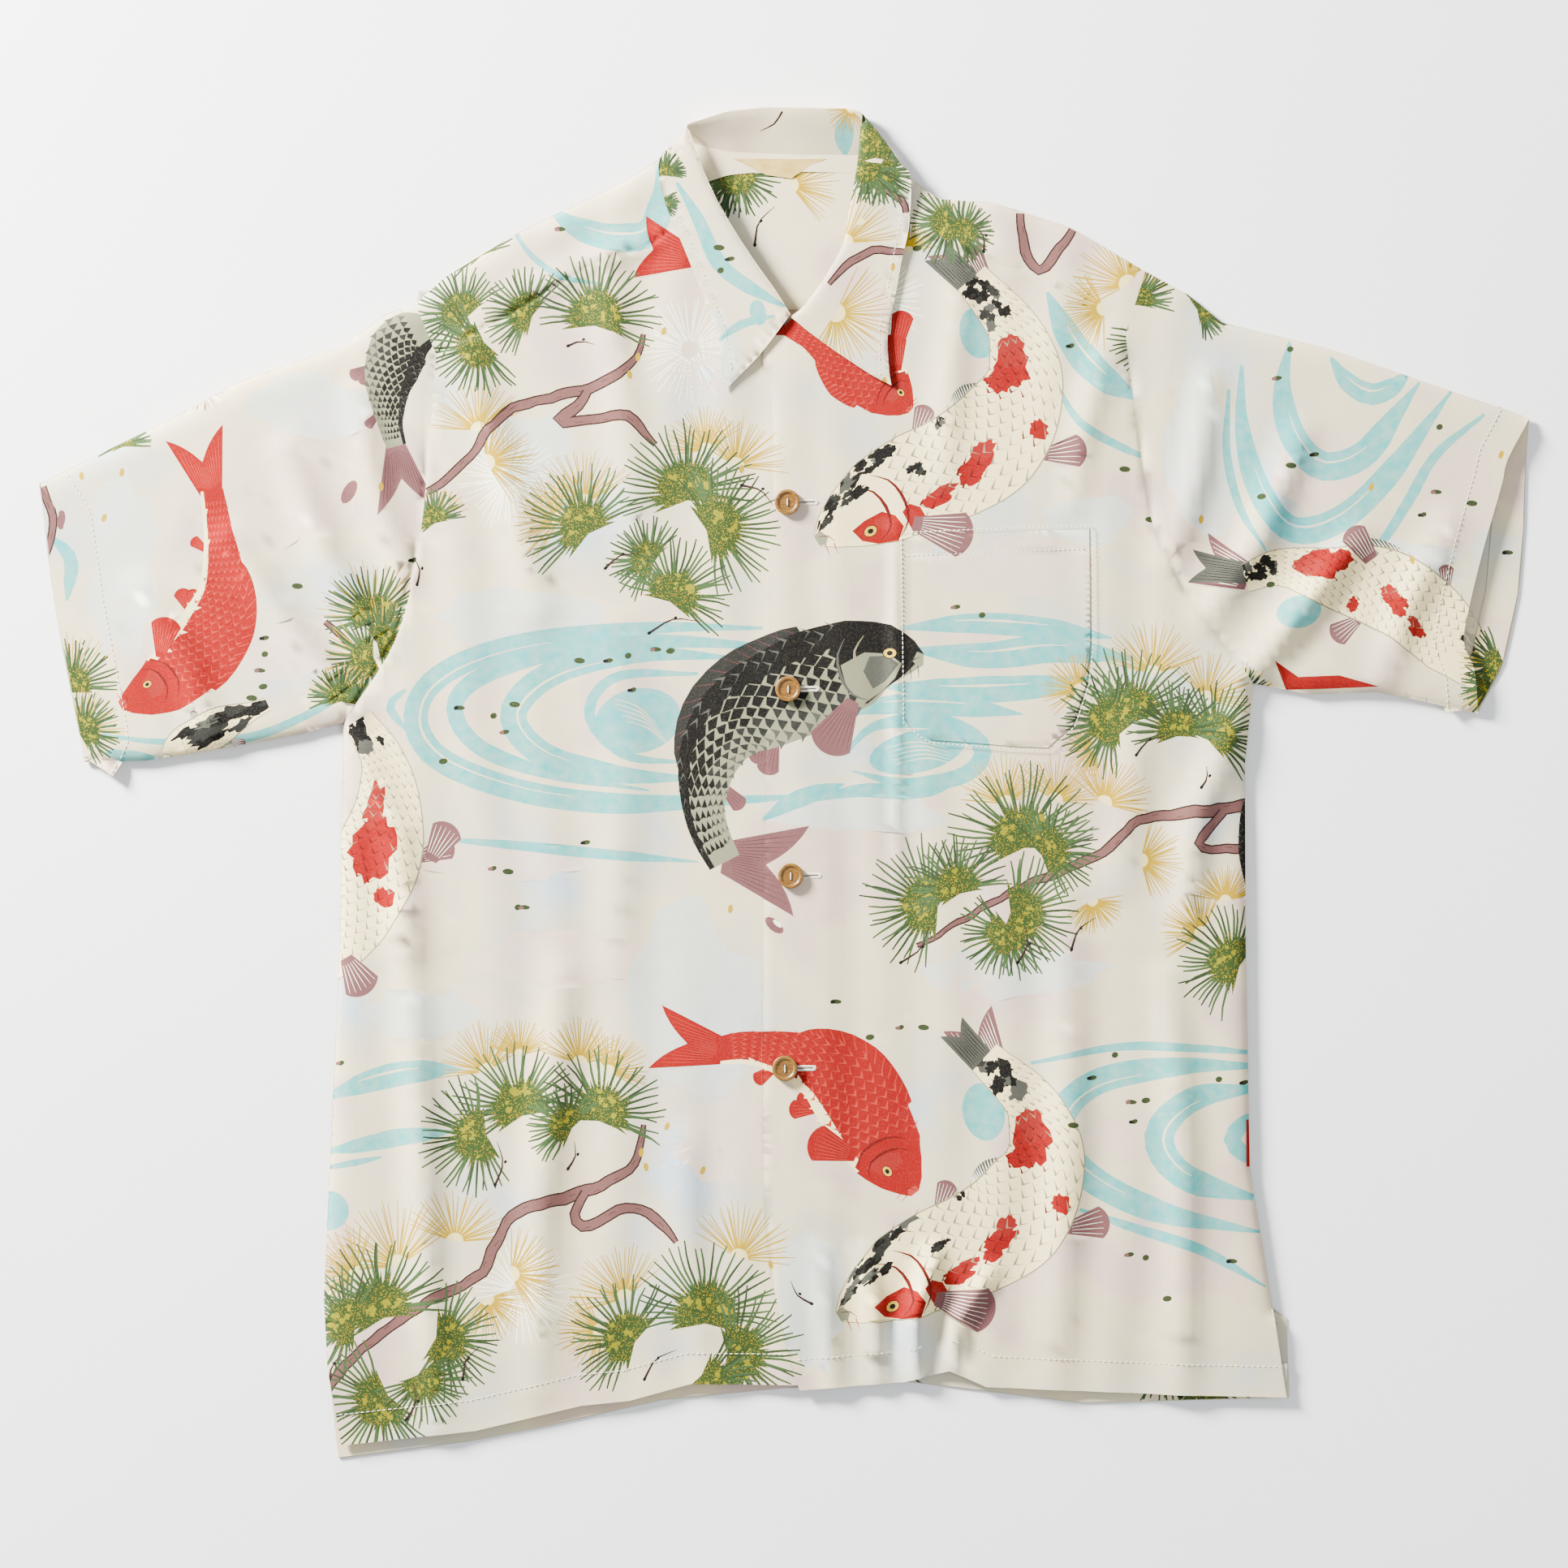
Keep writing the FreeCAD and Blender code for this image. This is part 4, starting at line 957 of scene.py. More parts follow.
def printed_cloth(name, inside):
    """Printed viscose. The mesh carries each shape's ink and how it lies on the cloth."""
    material, tree, shader, where = fresh(name)
    ink = node(tree, "ShaderNodeAttribute", {"attribute_name": "ink"})
    slow, fine, grain = noise(tree, where, 9, 3), noise(tree, where, 160, 3), noise(tree, where, 900, 2)
    wash = ramp(tree, slow, [(0.30, "AEC2CE"), (0.41, "D0C7AC"), (0.52, "E2D2A8"), (0.62, "D2B8A8"),
                             (0.74, "D6C59C")])
    wash = mixed(tree, maths(tree, "MULTIPLY", fine, 0.10), wash, [0.45, 0.52, 0.55, 1])
    kind = ink.outputs["Alpha"]
    watery = mixed(tree, maths(tree, "MULTIPLY_ADD", fine, 0.6, -0.14), ink.outputs["Color"], wash)
    dots = node(tree, "ShaderNodeTexVoronoi", {"feature": "F1"}, Vector=where, Scale=950.0)
    speck = maths(tree, "LESS_THAN", dots.outputs["Distance"], 0.32)
    speckled = mixed(tree, maths(tree, "MULTIPLY", speck, 0.85), ink.outputs["Color"],
                     linear("A08403") + [1])
    plain = mixed(tree, maths(tree, "MULTIPLY_ADD", grain, 0.10, -0.045), ink.outputs["Color"], wash)
    colour = mixed(tree, maths(tree, "GREATER_THAN", kind, 0.25), wash, watery)
    colour = mixed(tree, maths(tree, "GREATER_THAN", kind, 0.6), colour, speckled)
    colour = mixed(tree, maths(tree, "GREATER_THAN", kind, 0.9), colour, plain)
    if inside:
        # the reverse shows a paler print; it is also darkened towards grey-brown, which is painted shade
        # for cloth seen inside the shirt and through the neck
        colour = mixed(tree, 0.55, colour, wash)
        colour = mixed(tree, 0.34, colour, [0.46, 0.42, 0.35, 1])
    threads = weave(tree, where, 0.00045)
    # painted shade: the colour darkens where the weave is low, between the threads
    colour = mixed(tree, maths(tree, "MULTIPLY_ADD", threads, -0.06, 0.06), colour, [0.2, 0.19, 0.17, 1])
    crumple = maths(tree, "MULTIPLY_ADD", noise(tree, where, 70, 4, 0.6), 3.0, threads)
    crumple = maths(tree, "MULTIPLY_ADD", noise(tree, where, 24, 2), 8.0, crumple)
    bump = node(tree, "ShaderNodeBump", Height=crumple, Strength=0.5, Distance=0.00016)
    tree.links.new(colour, shader.inputs["Base Color"])
    tree.links.new(maths(tree, "MULTIPLY_ADD", fine, 0.16, 0.72), shader.inputs["Roughness"])
    tree.links.new(bump.outputs["Normal"], shader.inputs["Normal"])
    shader.inputs["Sheen Weight"].default_value = 0.02
    shader.inputs["Sheen Roughness"].default_value = 0.45
    shader.inputs["Specular IOR Level"].default_value = 0.08
    return material


def button_wood():
    """Pale turned wood: growth rings, fine pores, a satin finish."""
    material, tree, shader, where = fresh("button_wood")
    stretched = node(tree, "ShaderNodeMapping", Vector=where, Scale=(260, 900, 900)).outputs["Vector"]
    grain = node(tree, "ShaderNodeTexNoise", Vector=stretched, Scale=1.0, Detail=5.0, Roughness=0.62,
                 Distortion=0.5).outputs["Fac"]
    rings = node(tree, "ShaderNodeTexWave", {"wave_type": "RINGS", "rings_direction": "Y"}, Vector=where,
                 Scale=130.0, Distortion=5.0, Detail=2.0).outputs["Fac"]
    body = ramp(tree, grain, [(0.25, "4A2C04"), (0.45, "6C4606"), (0.6, "7E560E"), (0.75, "94701E")])
    colour = mixed(tree, maths(tree, "MULTIPLY", rings, 0.28), body, linear("442A0C") + [1])
    pores = maths(tree, "LESS_THAN", noise(tree, where, 2600, 2), 0.36)
    colour = mixed(tree, maths(tree, "MULTIPLY", pores, 0.5), colour, linear("2E1C0A") + [1])
    bump = node(tree, "ShaderNodeBump", Height=maths(tree, "ADD", grain, rings), Strength=0.35,
                Distance=0.0001)
    tree.links.new(colour, shader.inputs["Base Color"])
    tree.links.new(maths(tree, "MULTIPLY_ADD", grain, 0.25, 0.30), shader.inputs["Roughness"])
    tree.links.new(bump.outputs["Normal"], shader.inputs["Normal"])
    shader.inputs["Coat Weight"].default_value = 0.2
    shader.inputs["Coat Roughness"].default_value = 0.3
    return material


def thread_material(name, pale, dark):
    """Twisted sewing thread."""
    material, tree, shader, where = fresh(name)
    turned = node(tree, "ShaderNodeMapping", Vector=where, Rotation=(0.5, 0.4, 0.8)).outputs["Vector"]
    twist = node(tree, "ShaderNodeTexWave", {"wave_type": "BANDS"}, Vector=turned, Scale=1100.0,
                 Distortion=1.0).outputs["Fac"]
    shade = maths(tree, "MULTIPLY_ADD", noise(tree, where, 700), 0.5, maths(tree, "MULTIPLY", twist, 0.5))
    tree.links.new(ramp(tree, shade, [(0.2, dark), (0.7, pale)]), shader.inputs["Base Color"])
    bump = node(tree, "ShaderNodeBump", Height=twist, Strength=0.6, Distance=0.00008)
    tree.links.new(bump.outputs["Normal"], shader.inputs["Normal"])
    tree.links.new(maths(tree, "MULTIPLY_ADD", twist, 0.1, 0.6), shader.inputs["Roughness"])
    shader.inputs["Sheen Weight"].default_value = 0.3
    return material


def satin():
    """A blank woven label."""
    material, tree, shader, where = fresh("label_satin")
    threads = weave(tree, where, 0.0004)
    cloud = noise(tree, where, 220, 3)
    colour = ramp(tree, cloud, [(0.3, "B59548"), (0.7, "C9AE68")])
    colour = mixed(tree, maths(tree, "MULTIPLY", threads, 0.12), colour, linear("8C6E2A") + [1])
    bump = node(tree, "ShaderNodeBump", Height=threads, Strength=0.5, Distance=0.00008)
    tree.links.new(colour, shader.inputs["Base Color"])
    tree.links.new(bump.outputs["Normal"], shader.inputs["Normal"])
    tree.links.new(maths(tree, "MULTIPLY_ADD", cloud, 0.2, 0.32), shader.inputs["Roughness"])
    shader.inputs["Anisotropic"].default_value = 0.4
    return material


OUTSIDE = printed_cloth("printed_cloth", False)
INSIDE = printed_cloth("printed_cloth_reverse_painted_shade", True)
WOOD = button_wood()
THREAD = thread_material("sewing_thread", "F0EADB", "C9BEA6")
BUTTON_THREAD = thread_material("button_thread", "E9DCC0", "B9A078")
SATIN = satin()


# ---- Cloth meshes ------------------------------------------------------------------------------

def within(points, polygon):
    """Which points lie in a polygon, by how often it winds round them."""
    x, y = points[:, :1], points[:, 1:2]
    a, b = polygon, np.roll(polygon, -1, axis=0)
    left = (b[:, 0] - a[:, 0]) * (y - a[:, 1]) - (x - a[:, 0]) * (b[:, 1] - a[:, 1])
    up = (a[:, 1] <= y) & (b[:, 1] > y) & (left > 0)
    down = (a[:, 1] > y) & (b[:, 1] <= y) & (left < 0)
    return (up.sum(1) - down.sum(1)) != 0


def triangulate(outline, shapes, grid, extra):
    """Triangles of a flat outline that follow its printed shapes: points, corners, inks."""
    outline = np.array(resample([tuple(p) for p in outline] + [tuple(outline[0])], grid)[:-1])
    low, high = outline.min(0), outline.max(0)
    tile = grid * round(TILE / grid)
    start = np.floor(low / tile).astype(int)
    stop = np.ceil(high / tile).astype(int)
    boxes = [(s.min(0), s.max(0)) for s, _ in shapes]
    ticks = np.arange(0, round(tile / grid)) * grid
    points, corners, inks = [], [], []
    base = 0
    for i in range(start[0], stop[0]):
        for j in range(start[1], stop[1]):
            x0, y0 = i * tile, j * tile
            near = [k for k, (lo, hi) in enumerate(boxes)
                    if lo[0] < x0 + tile and hi[0] > x0 and lo[1] < y0 + tile and hi[1] > y0]
            border = ([(x0 + t, y0) for t in ticks] + [(x0 + tile, y0 + t) for t in ticks]
                      + [(x0 + tile - t, y0 + tile) for t in ticks] + [(x0, y0 + tile - t) for t in ticks])
            verts = [np.array(border), outline] + [shapes[k][0] for k in near]
            edges, at = [], 0
            for loop in verts:
                n = len(loop)
                edges += [(at + m, at + (m + 1) % n) for m in range(n)]
                at += n
            cells = np.array([(x0 + a, y0 + b) for a in ticks[1:] for b in ticks[1:]])
            verts += [cells[within(cells, outline)].reshape(-1, 2)]
            if len(extra):
                keep = ((extra > [x0, y0]) & (extra < [x0 + tile, y0 + tile])).all(1)
                verts.append(extra[keep])
            flat = np.vstack(verts)
            made = delaunay_2d_cdt([Vector(p) for p in flat], edges, [], 0, 1e-5, False)
            co = np.array([tuple(v) for v in made[0]])
            tri = np.array([f for f in made[2] if len(f) == 3], int).reshape(-1, 3)
            mid = co[tri].mean(1)
            keep = ((mid > [x0, y0]) & (mid < [x0 + tile, y0 + tile])).all(1)
            keep[keep] = within(mid[keep], outline)
            tri, mid = tri[keep], mid[keep]
            ink = np.zeros(len(tri), int)
            for k in near:
                lo, hi = boxes[k]
                hit = np.nonzero(((mid >= lo) & (mid <= hi)).all(1))[0]
                if len(hit):
                    hit = hit[within(mid[hit], shapes[k][0])]
                    ink[hit] = shapes[k][1]
            used, back = np.unique(tri, return_inverse=True)
            points.append(co[used])
            corners.append(back.reshape(-1, 3) + base)
            inks.append(ink)
            base += len(used)
    mesh = bpy.data.meshes.new("flat")
    flat = np.vstack(points)
    mesh.from_pydata(np.column_stack([flat, np.zeros(len(flat))]).tolist(), [], np.vstack(corners).tolist())
    mesh.attributes.new("kind", "INT", "FACE").data.foreach_set("value", np.concatenate(inks))
    bm = bmesh.new()
    bm.from_mesh(mesh)
    bmesh.ops.remove_doubles(bm, verts=bm.verts, dist=0.004)
    bmesh.ops.dissolve_degenerate(bm, edges=bm.edges, dist=0.0005)
    bmesh.ops.triangulate(bm, faces=bm.faces)
    layer = bm.faces.layers.int["kind"]
    bm.verts.index_update()
    co = np.array([v.co[:2] for v in bm.verts])
    tri = np.array([[v.index for v in f.verts] for f in bm.faces])
    ink = np.array([f[layer] for f in bm.faces])
    bm.free()
    bpy.data.meshes.remove(mesh)
    area = np.cross(co[tri[:, 1]] - co[tri[:, 0]], co[tri[:, 2]] - co[tri[:, 0]])
    tri[area < 0] = tri[area < 0][:, ::-1]
    return co, tri, ink


def on(height):
    """A placing for cloth whose upper face is at a height over each point of its plan."""
    return lambda u, v: np.column_stack([u, v, height(u, v)])


def cloth(name, outline, place, printed=None, under=None, thickness=CLOTH, sides=(False, True),
          grid=GRID, closed=(), materials=None):
    """A piece of cloth: its outline in plan, or as cut, and where each point of it lies. sides says
    which of its two faces is the reverse of the print; under is the height of its lower face."""
    extra = [np.array(resample(line, 4)) for line in closed]
    extra = np.vstack([e + across(e) * d for e in extra for d in (-3.4, -1.2, 1.2, 3.4)]) if extra else \
        np.zeros((0, 2))
    if len(extra):
        extra = extra[within(extra, np.array(outline, float))]
    uv, tri, ink = triangulate(outline, printed.shapes if printed else [], grid, extra)
    u, v = uv.T
    top = place(u, v)
    step = 0.4
    normal = np.cross(place(u + step, v) - place(u - step, v), place(u, v + step) - place(u, v - step))
    normal /= np.maximum(np.linalg.norm(normal, axis=1), 1e-9)[:, None]
    if under is None:
        bottom = top - normal * thickness
    else:
        bottom = np.column_stack([top[:, :2], np.minimum(under(u, v), top[:, 2] - 0.05)])
    n = len(uv)
    pairs = np.vstack([tri[:, [0, 1]], tri[:, [1, 2]], tri[:, [2, 0]]])
    keys = np.sort(pairs, axis=1)
    _, first, count = np.unique(keys, axis=0, return_index=True, return_counts=True)
    rim = pairs[first[count == 1]]
    quads = np.column_stack([rim[:, 1], rim[:, 0], rim[:, 0] + n, rim[:, 1] + n])
    faces = tri.tolist() + (tri[:, ::-1] + n).tolist() + quads.tolist()
    mesh = bpy.data.meshes.new(name)
    mesh.from_pydata((np.vstack([top, bottom]) * MM).tolist(), [], faces)
    mesh.polygons.foreach_set("use_smooth", np.ones(len(faces), bool))
    slots = np.concatenate([np.full(len(tri), int(sides[0])), np.full(len(tri), int(sides[1])),
                            np.full(len(quads), int(sides[0]))])
    corner_ink = np.repeat(ink, 3)
    colours = INK_TABLE[np.concatenate([corner_ink, corner_ink, np.zeros(4 * len(quads), int)])]
    mesh.attributes.new("ink", "FLOAT_COLOR", "CORNER").data.foreach_set("color", colours.ravel())
    for material in materials or (OUTSIDE, INSIDE):
        mesh.materials.append(material)
    mesh.polygons.foreach_set("material_index", slots)
    mesh.update()
    mesh.normals_split_custom_set_from_vertices(np.vstack([normal, -normal]).tolist())
    piece = linked(name, mesh)
    shape = np.array(outline, float)
    x, y = shape.T
    piece["cut_area"] = abs(float(np.dot(x, np.roll(y, -1)) - np.dot(y, np.roll(x, -1)))) / 2 * MM * MM
    piece["cut_size"] = ((shape.max(0) - shape.min(0)) * MM).tolist()
    return piece


def lay(piece, flat=None):
    """Take the cut area and size that cloth gave a piece off it again."""
    del piece["cut_area"], piece["cut_size"]
    return piece


def linked(name, data):
    """A new object in the scene."""
    made = bpy.data.objects.new(name, data)
    bpy.context.scene.collection.objects.link(made)
    return made


def stitches(name, line, height, pitch=3.2, length=2.2, width=0.55, material=THREAD):
    """A row of stitches along a line, each a short bent bar of thread lying on the cloth."""
    run = np.array(resample(line, 0.5))
    gone = np.concatenate([[0], np.cumsum(np.hypot(*np.diff(run, axis=0).T))])
    count = int(gone[-1] / pitch)
    at = (np.arange(count) + 0.5) * pitch
    rings, sections = 5, 6
    verts, faces = [], []
    for k, centre in enumerate(at):
        s = centre + np.linspace(-0.5, 0.5, rings) * length
        x, y = np.interp(s, gone, run[:, 0]), np.interp(s, gone, run[:, 1])
        t = np.array([x[-1] - x[0], y[-1] - y[0]])
        t /= max(np.hypot(*t), 1e-9)
        lift = height(x, y) + np.array([-0.1, 0.12, 0.2, 0.12, -0.1])
        base = len(verts)
        for i in range(rings):
            r = width / 2 * (0.75, 0.95, 1, 0.95, 0.75)[i]
            for m in range(sections):
                a = 2 * math.pi * m / sections
                verts.append(((x[i] - t[1] * r * math.cos(a)) * MM, (y[i] + t[0] * r * math.cos(a)) * MM,
                              (lift[i] + r * 0.8 * math.sin(a)) * MM))
        for i in range(rings - 1):
            for m in range(sections):
                a, b = base + i * sections + m, base + i * sections + (m + 1) % sections
                faces.append((a, b, b + sections, a + sections))
        faces.append(tuple(base + m for m in range(sections))[::-1])
        faces.append(tuple(base + (rings - 1) * sections + m for m in range(sections)))
    mesh = bpy.data.meshes.new(name)
    mesh.from_pydata(verts, [], faces)
    mesh.polygons.foreach_set("use_smooth", np.ones(len(faces), bool))
    mesh.materials.append(material)
    mesh.update()
    piece = linked(name, mesh)
    return piece


def inset(line, distance):
    """A line moved to its left."""
    run = np.array(resample(line, 3.0))
    return (run + across(run) * distance).tolist()


def about(line, normal, reach):
    """Start and end of a bend that begins on a line and ends a reach away, along a normal."""
    return ((line[0] * MM, line[1] * MM, 0.007),
            ((line[0] + normal[0] * reach) * MM, (line[1] + normal[1] * reach) * MM, 0.007))


def lowered(height, by):
    """A height that lies lower by so much; raised, where by is negative."""
    return lambda x, y: height(x, y) - by


def band(line, near, far):
    """The outline of a strip between two distances to the left of a line."""
    return inset(line, near) + inset(line, far)[::-1]


ON_BACK = lowered(back_height, -0.5)   # cloth that lies on the back
HEM_TURN = 21        # turned width of the bottom hems
CUFF_TURN = 20       # and of the cuffs
HEM_FLAT = 0.021     # the same, in metres
CUFF_FLAT = 0.0195
LEFT_OPEN = about((60.3, 0), (-0.9984, 0.0565), 22)
RIGHT_OPEN = about((-66, 0), (0.9993, 0.0372), 22)
LEFT_BEND = about((256.25, 189.25), (0.9676, 0.2528), 36)
RIGHT_BEND = about((-249.75, 167), (-0.9856, 0.1693), 36)


# ---- The pieces --------------------------------------------------------------------------------

FRONTS = fronts_print()
COLLAR = collar_print()
YOKE = inside_print()
BACK = back_print()

left = cloth("front_left", LEFT_YOKE_SEAM + rounded(LEFT_ARMHOLE)[1:] + LEFT_SIDE[1:] + LEFT_HEM[::-1]
             + rounded(LEFT_EDGE[::-1])[1:] + rounded(LEFT_NECK[::-1])[1:-1], on(over_height), FRONTS,
             closed=[LEFT_SIDE])
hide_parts("left_front_panel", "left_front_flap", "left_side_seam", "buttonholes")
lay(left)
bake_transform(left)

right = cloth("front_right", rounded(RIGHT_NECK) + [(20, 265)] + RIGHT_HEM[::-1] + RIGHT_SIDE[::-1]
              + rounded(RIGHT_ARMHOLE[::-1])[1:] + RIGHT_YOKE_SEAM[::-1][1:-1], on(front_height), FRONTS,
              closed=[RIGHT_SIDE])
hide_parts("right_front_panel", "right_front_flap", "right_side_seam")
lay(right)
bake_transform(right)


facing = cloth("facing_left", rounded(LEFT_EDGE) + [(52, -370), (40, -240), (42, -90), (43, 60),
               (46, 200), (66, 300), (58, 340)] + rounded(LEFT_NECK)[1:-1],
               on(lowered(over_height, 0.45)), FRONTS, sides=(True, False), grid=8)
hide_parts("left_front_facing")
lay(facing)
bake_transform(facing)

facing = cloth("facing_right", [(18, -368), (19, 265)] + rounded(RIGHT_NECK[::-1])[:-1]
               + [(-56, 345), (-62, 300), (-44, 240), (-38, 150), (-38, -366)],
               on(lowered(front_height, 0.45)), FRONTS, sides=(True, False), grid=8)
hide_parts("right_front_facing")
lay(facing)
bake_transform(facing)

for side, hem, bend, height, blend in (("left", LEFT_HEM, LEFT_OPEN, over_height, "left_front"),
                                       ("right", RIGHT_HEM, RIGHT_OPEN, front_height, "right_front")):
    turned = cloth("hem_" + side, band(hem, 0.6, HEM_TURN), on(lowered(height, 0.95)), FRONTS,
                   sides=(True, False), grid=8)
    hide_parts(side + "_front_hem")
    lay(turned, flat=(length_of(hem) * MM, HEM_FLAT))
    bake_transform(turned)
    row = stitches("hem_stitches_" + side, inset(hem, 19), height, 3.4, 2.3, 0.5)
    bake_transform(row)

# the shoulders, each in two pieces: an outer one on the shirt, and an inner one by the front it is sewn to
for side, fold, seam, corner, cut, body in (
        ("left", LEFT_SHOULDER, LEFT_YOKE_SEAM, (57, 388), 81.0, "left_front"),
        ("right", RIGHT_SHOULDER, RIGHT_YOKE_SEAM, (-66, 388), -80.0, "right_front")):
    fold_y = float(np.interp(abs(cut), [abs(p[0]) for p in fold], [p[1] for p in fold]))
    seam_y = float(np.interp(abs(cut), [abs(p[0]) for p in seam], [p[1] for p in seam]))
    outer = [(cut, fold_y)] + [p for p in fold if abs(p[0]) > abs(cut)]
    outer += [p for p in seam[::-1] if abs(p[0]) > abs(cut)] + [(cut, seam_y)]
    inner = [(cut, seam_y)] + [p for p in seam[::-1] if abs(p[0]) < abs(cut)] + [corner]
    inner += [p for p in fold if abs(p[0]) < abs(cut)] + [(cut, fold_y)]
    piece = cloth("shoulder_" + side, outer, on(front_height), FRONTS, closed=[fold])
    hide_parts(side + "_shoulder_yoke", side + "_shoulder_fold")
    lay(piece)
    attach(piece, "shirt")
    piece = cloth("shoulder_inner_" + side, inner, on(front_height), FRONTS, grid=4)
    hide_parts(side + "_shoulder_yoke")
    lay(piece)
    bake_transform(piece)

back = cloth("back", BACK_HEM + [(310.5, -330)] + LEFT_SIDE[::-1]
             + [(250, 150), (226.5, 305), (-226, 305), (-246, 130)] + RIGHT_SIDE,
             on(back_height), BACK, sides=(True, False), closed=[LEFT_SIDE, RIGHT_SIDE])
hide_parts("back_panel")
lay(back)
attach(back, "shirt")

turned = cloth("hem_back", band(BACK_HEM, 0.6, HEM_TURN), on(ON_BACK), BACK, sides=(False, True), grid=8)
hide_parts("back_hem")
lay(turned, flat=(length_of(BACK_HEM) * MM, HEM_FLAT))
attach(turned, "shirt")
row = stitches("hem_stitches_back", inset(BACK_HEM, 19), ON_BACK, 3.4, 2.3, 0.5)
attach(row, "shirt")

NECK = [(66, 389), (45, 386.5), (5, 385.5), (-34, 387.5), (-62, 393)]
yoke = cloth("back_yoke_cloth", [(-228, 293), (229, 293)] + LEFT_SHOULDER[::-1] + rounded(NECK)
             + RIGHT_SHOULDER, on(ON_BACK), YOKE, sides=(False, False),
             closed=[LEFT_SHOULDER, RIGHT_SHOULDER])
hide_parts("back_yoke")
lay(yoke)
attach(yoke, "shirt")

# sleeves: an upper and an under layer that meet at the folded top edge and the underarm seam
for side, body, armhole, top, cuff, cuff_back, bottom, bend, printed in (
        ("left", "left_sleeve", LEFT_ARMHOLE, LEFT_TOP, LEFT_CUFF, LEFT_CUFF_BACK, LEFT_BOTTOM,
         LEFT_BEND, left_sleeve_print()),
        ("right", "right_sleeve", RIGHT_ARMHOLE, RIGHT_TOP, RIGHT_CUFF, RIGHT_CUFF_BACK, RIGHT_BOTTOM,
         RIGHT_BEND, right_sleeve_print())):
    upper = cloth("sleeve_upper_" + side, rounded(armhole[::-1]) + top + rounded(cuff)[1:] + bottom[1:-1],
                  on(front_height), printed, closed=[top, bottom])
    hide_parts(side + "_sleeve_upper", side + "_sleeve_head", side + "_sleeve_fold_edge",
                side + "_underarm_seam")
    lay(upper)
    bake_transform(upper)
    chord = [armhole[-1], (top[0][0], top[0][1])]
    under = cloth("sleeve_under_" + side, chord + top[1:] + rounded(cuff_back)[1:] + bottom[1:-1],
                  on(back_height), printed, sides=(True, False), closed=[top, bottom])
    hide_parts(side + "_sleeve_under")
    lay(under)
    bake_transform(under)
    for name, edge, height in (("front", cuff, lowered(front_height, 0.5)),
                               ("back", cuff_back, ON_BACK)):
        edge = edge[::-1] if side == "right" else edge
        near, far = inset(edge, -0.6), inset(edge, -CUFF_TURN)
        strip = cloth(f"cuff_{name}_{side}", near[1:-1] + far[1:-1][::-1], on(height), printed,
                      sides=(False, False), grid=8)
        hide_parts(f"{side}_cuff_{name}")
        lay(strip, flat=(length_of(edge) * MM, CUFF_FLAT))
        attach(strip, body)
    edge = cuff[::-1] if side == "right" else cuff
    row = stitches("cuff_stitches_" + side, inset(edge, -18), front_height, 3.4, 2.3, 0.5)
    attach(row, body)

pocket = cloth("pocket", POCKET, on(pocket_height), FRONTS, under=lowered(over_height, -0.1), grid=4)
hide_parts("chest_pocket", "pocket_hem", "pocket_turned_edge")
lay(pocket)
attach(pocket, "shirt")
row = stitches("pocket_stitches", [(72.3, 152)] + inset(POCKET[::-1], -1.9)[2:-1], pocket_height,
               2.9, 2.1, 0.6)
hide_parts("pocket_stitching")
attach(row, "shirt")
row = stitches("pocket_hem_stitches", [(72.5, 140.4), (187, 144.8)], pocket_height, 2.9, 2.1, 0.55)
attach(row, "shirt")


# ---- Collar ------------------------------------------------------------------------------------

FALL = np.array([   # along the collar: share from seam to roll, further towards +Y, height
    (0.0, 0.0, 0.0, 1.3), (9.0, 0.33, 0.0, 4.2), (18.0, 0.68, 0.0, 7.6), (24.0, 0.88, 0.0, 9.4),
    (27.5, 1.0, 0.0, 9.9), (31.0, 1.0, 1.2, 8.2), (35.0, 1.0, 1.2, 4.4), (39.0, 1.0, -1.0, 1.2),
    (44.0, 1.0, -6.0, 0.5), (76.0, 1.0, -38.0, 0.5)])


def collar_place(u, v):
    """The collar behind the neck, from its seam up over the roll and down to the table."""
    roll = np.interp(u, *zip(*COLLAR_TOP))
    seam = np.interp(u, *zip(*NECK_SEAM))
    share, beyond, z = (np.interp(v, FALL[:, 0], FALL[:, i]) for i in (1, 2, 3))
    return np.column_stack([u, seam + share * (roll - seam) + beyond, z + 0.25 * np.sin(u / 9)])


stand = cloth("collar_back", [(-59.5, 0), (48, 0), (48, 76), (-59.5, 76)], collar_place,
              stand_print(), thickness=0.8, sides=(False, False), grid=3)
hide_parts("collar_stand", "collar_fall")
lay(stand, flat=(0.1075, 0.076))
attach(stand, "shirt")


def part_of(line, low, high):
    """The part of a line whose points lie between two heights up the shirt."""
    run = resample(line, 2.0)
    return [p for p in run if low - 1e-6 <= p[1] <= high + 1e-6]


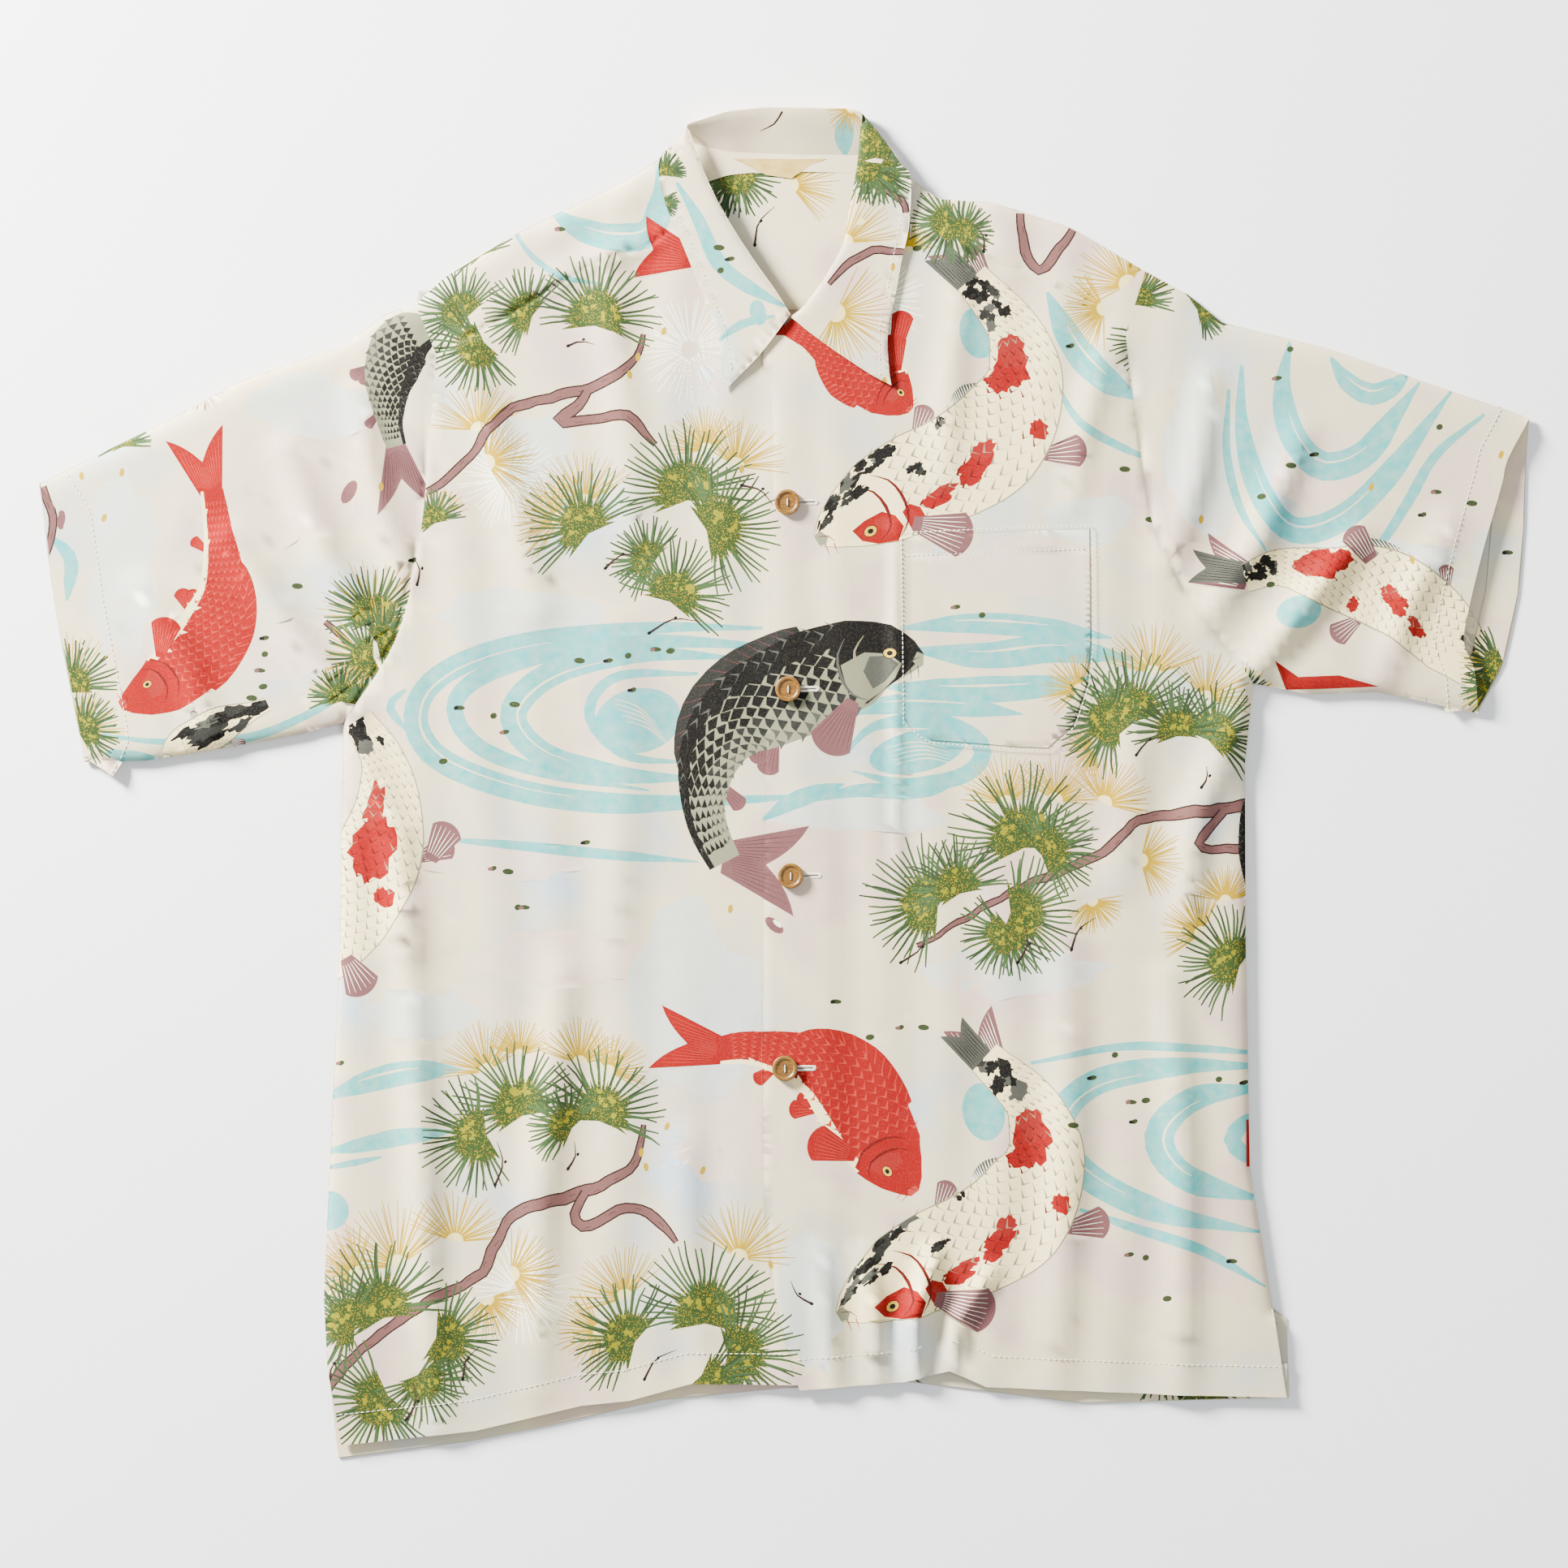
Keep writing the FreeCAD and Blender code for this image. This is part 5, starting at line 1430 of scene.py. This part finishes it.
SPLIT = 350.0
for side, roll, outer, front, body, turn in (
        ("left", LEFT_ROLL, LEFT_LEAF, LEFT_LEAF_FRONT, "left_front", "left_collar"),
        ("right", RIGHT_ROLL, RIGHT_LEAF, RIGHT_LEAF_FRONT, "right_front", "right_collar")):
    inner_x = float(np.interp(-SPLIT, [-p[1] for p in roll], [p[0] for p in roll]))
    outer_x = float(np.interp(-SPLIT, [-p[1] for p in outer], [p[0] for p in outer]))
    cut = [(inner_x, SPLIT), (outer_x, SPLIT)]
    top_part = [p for p in rounded(roll, 3) if p[1] > SPLIT + 0.5] + cut
    top_part += [p for p in rounded(outer, 3)[::-1] if p[1] > SPLIT + 0.5][:-1]
    piece = cloth("collar_side_" + side, top_part, on(leaf_height), COLLAR, under=undercollar_height,
                  sides=(False, False), grid=4, closed=[roll])
    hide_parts(side + "_collar_leaf", side + "_undercollar")
    lay(piece)
    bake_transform(piece)
    low_part = cut[::-1] + [p for p in rounded(roll, 3) if p[1] < SPLIT - 0.5]
    low_part += [p for p in rounded(front[::-1], 3)][1:-1]
    low_part += [p for p in rounded(outer, 3)[::-1] if p[1] < SPLIT - 0.5]
    piece = cloth("collar_leaf_" + side, low_part, on(leaf_height), COLLAR, under=undercollar_height,
                  sides=(False, False), grid=4, closed=[roll])
    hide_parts(side + "_collar_leaf", side + "_undercollar")
    lay(piece)
    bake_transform(piece)
    sign = -1 if side == "left" else 1
    edge = inset(part_of(outer, 250, SPLIT), 5.5 * sign)
    row = stitches(f"collar_stitches_{side}", edge, leaf_height, 3.0, 2.1, 0.45)
    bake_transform(row)

label = cloth("blank_label", [(-31.5, 386), (-26, 384), (-11, 376), (4.5, 374), (17, 382.5), (26, 386)],
              on(lowered(back_height, -1.1)), grid=3, sides=(False, False), materials=(SATIN,))
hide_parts("neck_label")
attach(label, "shirt")


# ---- Buttonholes and buttons -------------------------------------------------------------------

def buttonhole(x, y):
    """Two rows of close stitches along the sides of a slit, and a bar across its far end."""
    rows = []
    for side in (-1.05, 1.05):
        for k in range(30):
            at = x + 1.0 + k * 0.58
            rows.append([(at, y + side - 0.88), (at, y + side + 0.88)])
    rows += [[(x + 17.9 + k * 0.5, y - 1.7), (x + 17.9 + k * 0.5, y + 1.7)] for k in range(3)]
    return rows


for number, (bx, by) in enumerate(BUTTONS, 1):
    bars = [stitches("bar", row, over_height, length_of(row) - 0.01, length_of(row) * 0.9, 0.5)
            for row in buttonhole(bx, by)]
    bpy.ops.object.select_all(action="DESELECT")
    for bar in bars:
        bar.select_set(True)
    bpy.context.view_layer.objects.active = bars[0]
    bpy.ops.object.join()
    bars[0].name = f"buttonhole_stitches_{number}"
    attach(bars[0], "left_front")

for name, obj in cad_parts.items():
    if name.startswith("button_"):
        material = WOOD if name[7:].isdigit() else BUTTON_THREAD
        obj.data.materials.clear()
        obj.data.materials.append(material)


# ---- Floor, light, camera ----------------------------------------------------------------------

material, tree, shader, where = fresh("pale_floor")
pale = ramp(tree, noise(tree, where, 3, 3), [(0.3, "F1F1F1"), (0.7, "F5F5F4")])
tree.links.new(pale, shader.inputs["Base Color"])
shader.inputs["Roughness"].default_value = 0.9
mesh = bpy.data.meshes.new("floor")
mesh.from_pydata([(x, y, -0.0002) for x, y in ((-6, -6), (6, -6), (6, 6), (-6, 6))], [],
                 [(0, 1, 2, 3)])
mesh.materials.append(material)
linked("floor", mesh)

world = bpy.data.worlds.new("studio")
world.use_nodes = True
world.node_tree.nodes["Background"].inputs["Color"].default_value = (0.93, 0.96, 1.0, 1)
world.node_tree.nodes["Background"].inputs["Strength"].default_value = 0.85
bpy.context.scene.world = world


def lamp(name, place, size, power, colour):
    light = bpy.data.lights.new(name, "AREA")
    light.shape, light.size, light.energy, light.color = "DISK", size, power, colour
    obj = linked(name, light)
    obj.location = place
    obj.rotation_euler = (Vector((0, 0, 0)) - Vector(place)).to_track_quat("-Z", "Y").to_euler()


lamp("key", (-2.1, 1.7, 0.95), 0.7, 820, (1.0, 0.985, 0.96))
lamp("fill", (1.9, -0.6, 1.9), 1.6, 25, (0.96, 0.98, 1.0))

DISTANCE = 2.4       # of the camera above the table, in metres
FRAME_WIDTH = 0.966  # what it sees at the shirt's upper face, in metres
SENSOR = 36.0
camera = linked("camera", bpy.data.cameras.new("camera"))
camera.data.sensor_width = SENSOR
camera.data.lens = SENSOR * (DISTANCE - 0.007) / FRAME_WIDTH
camera.location = (0, 0, DISTANCE)
bpy.context.scene.camera = camera
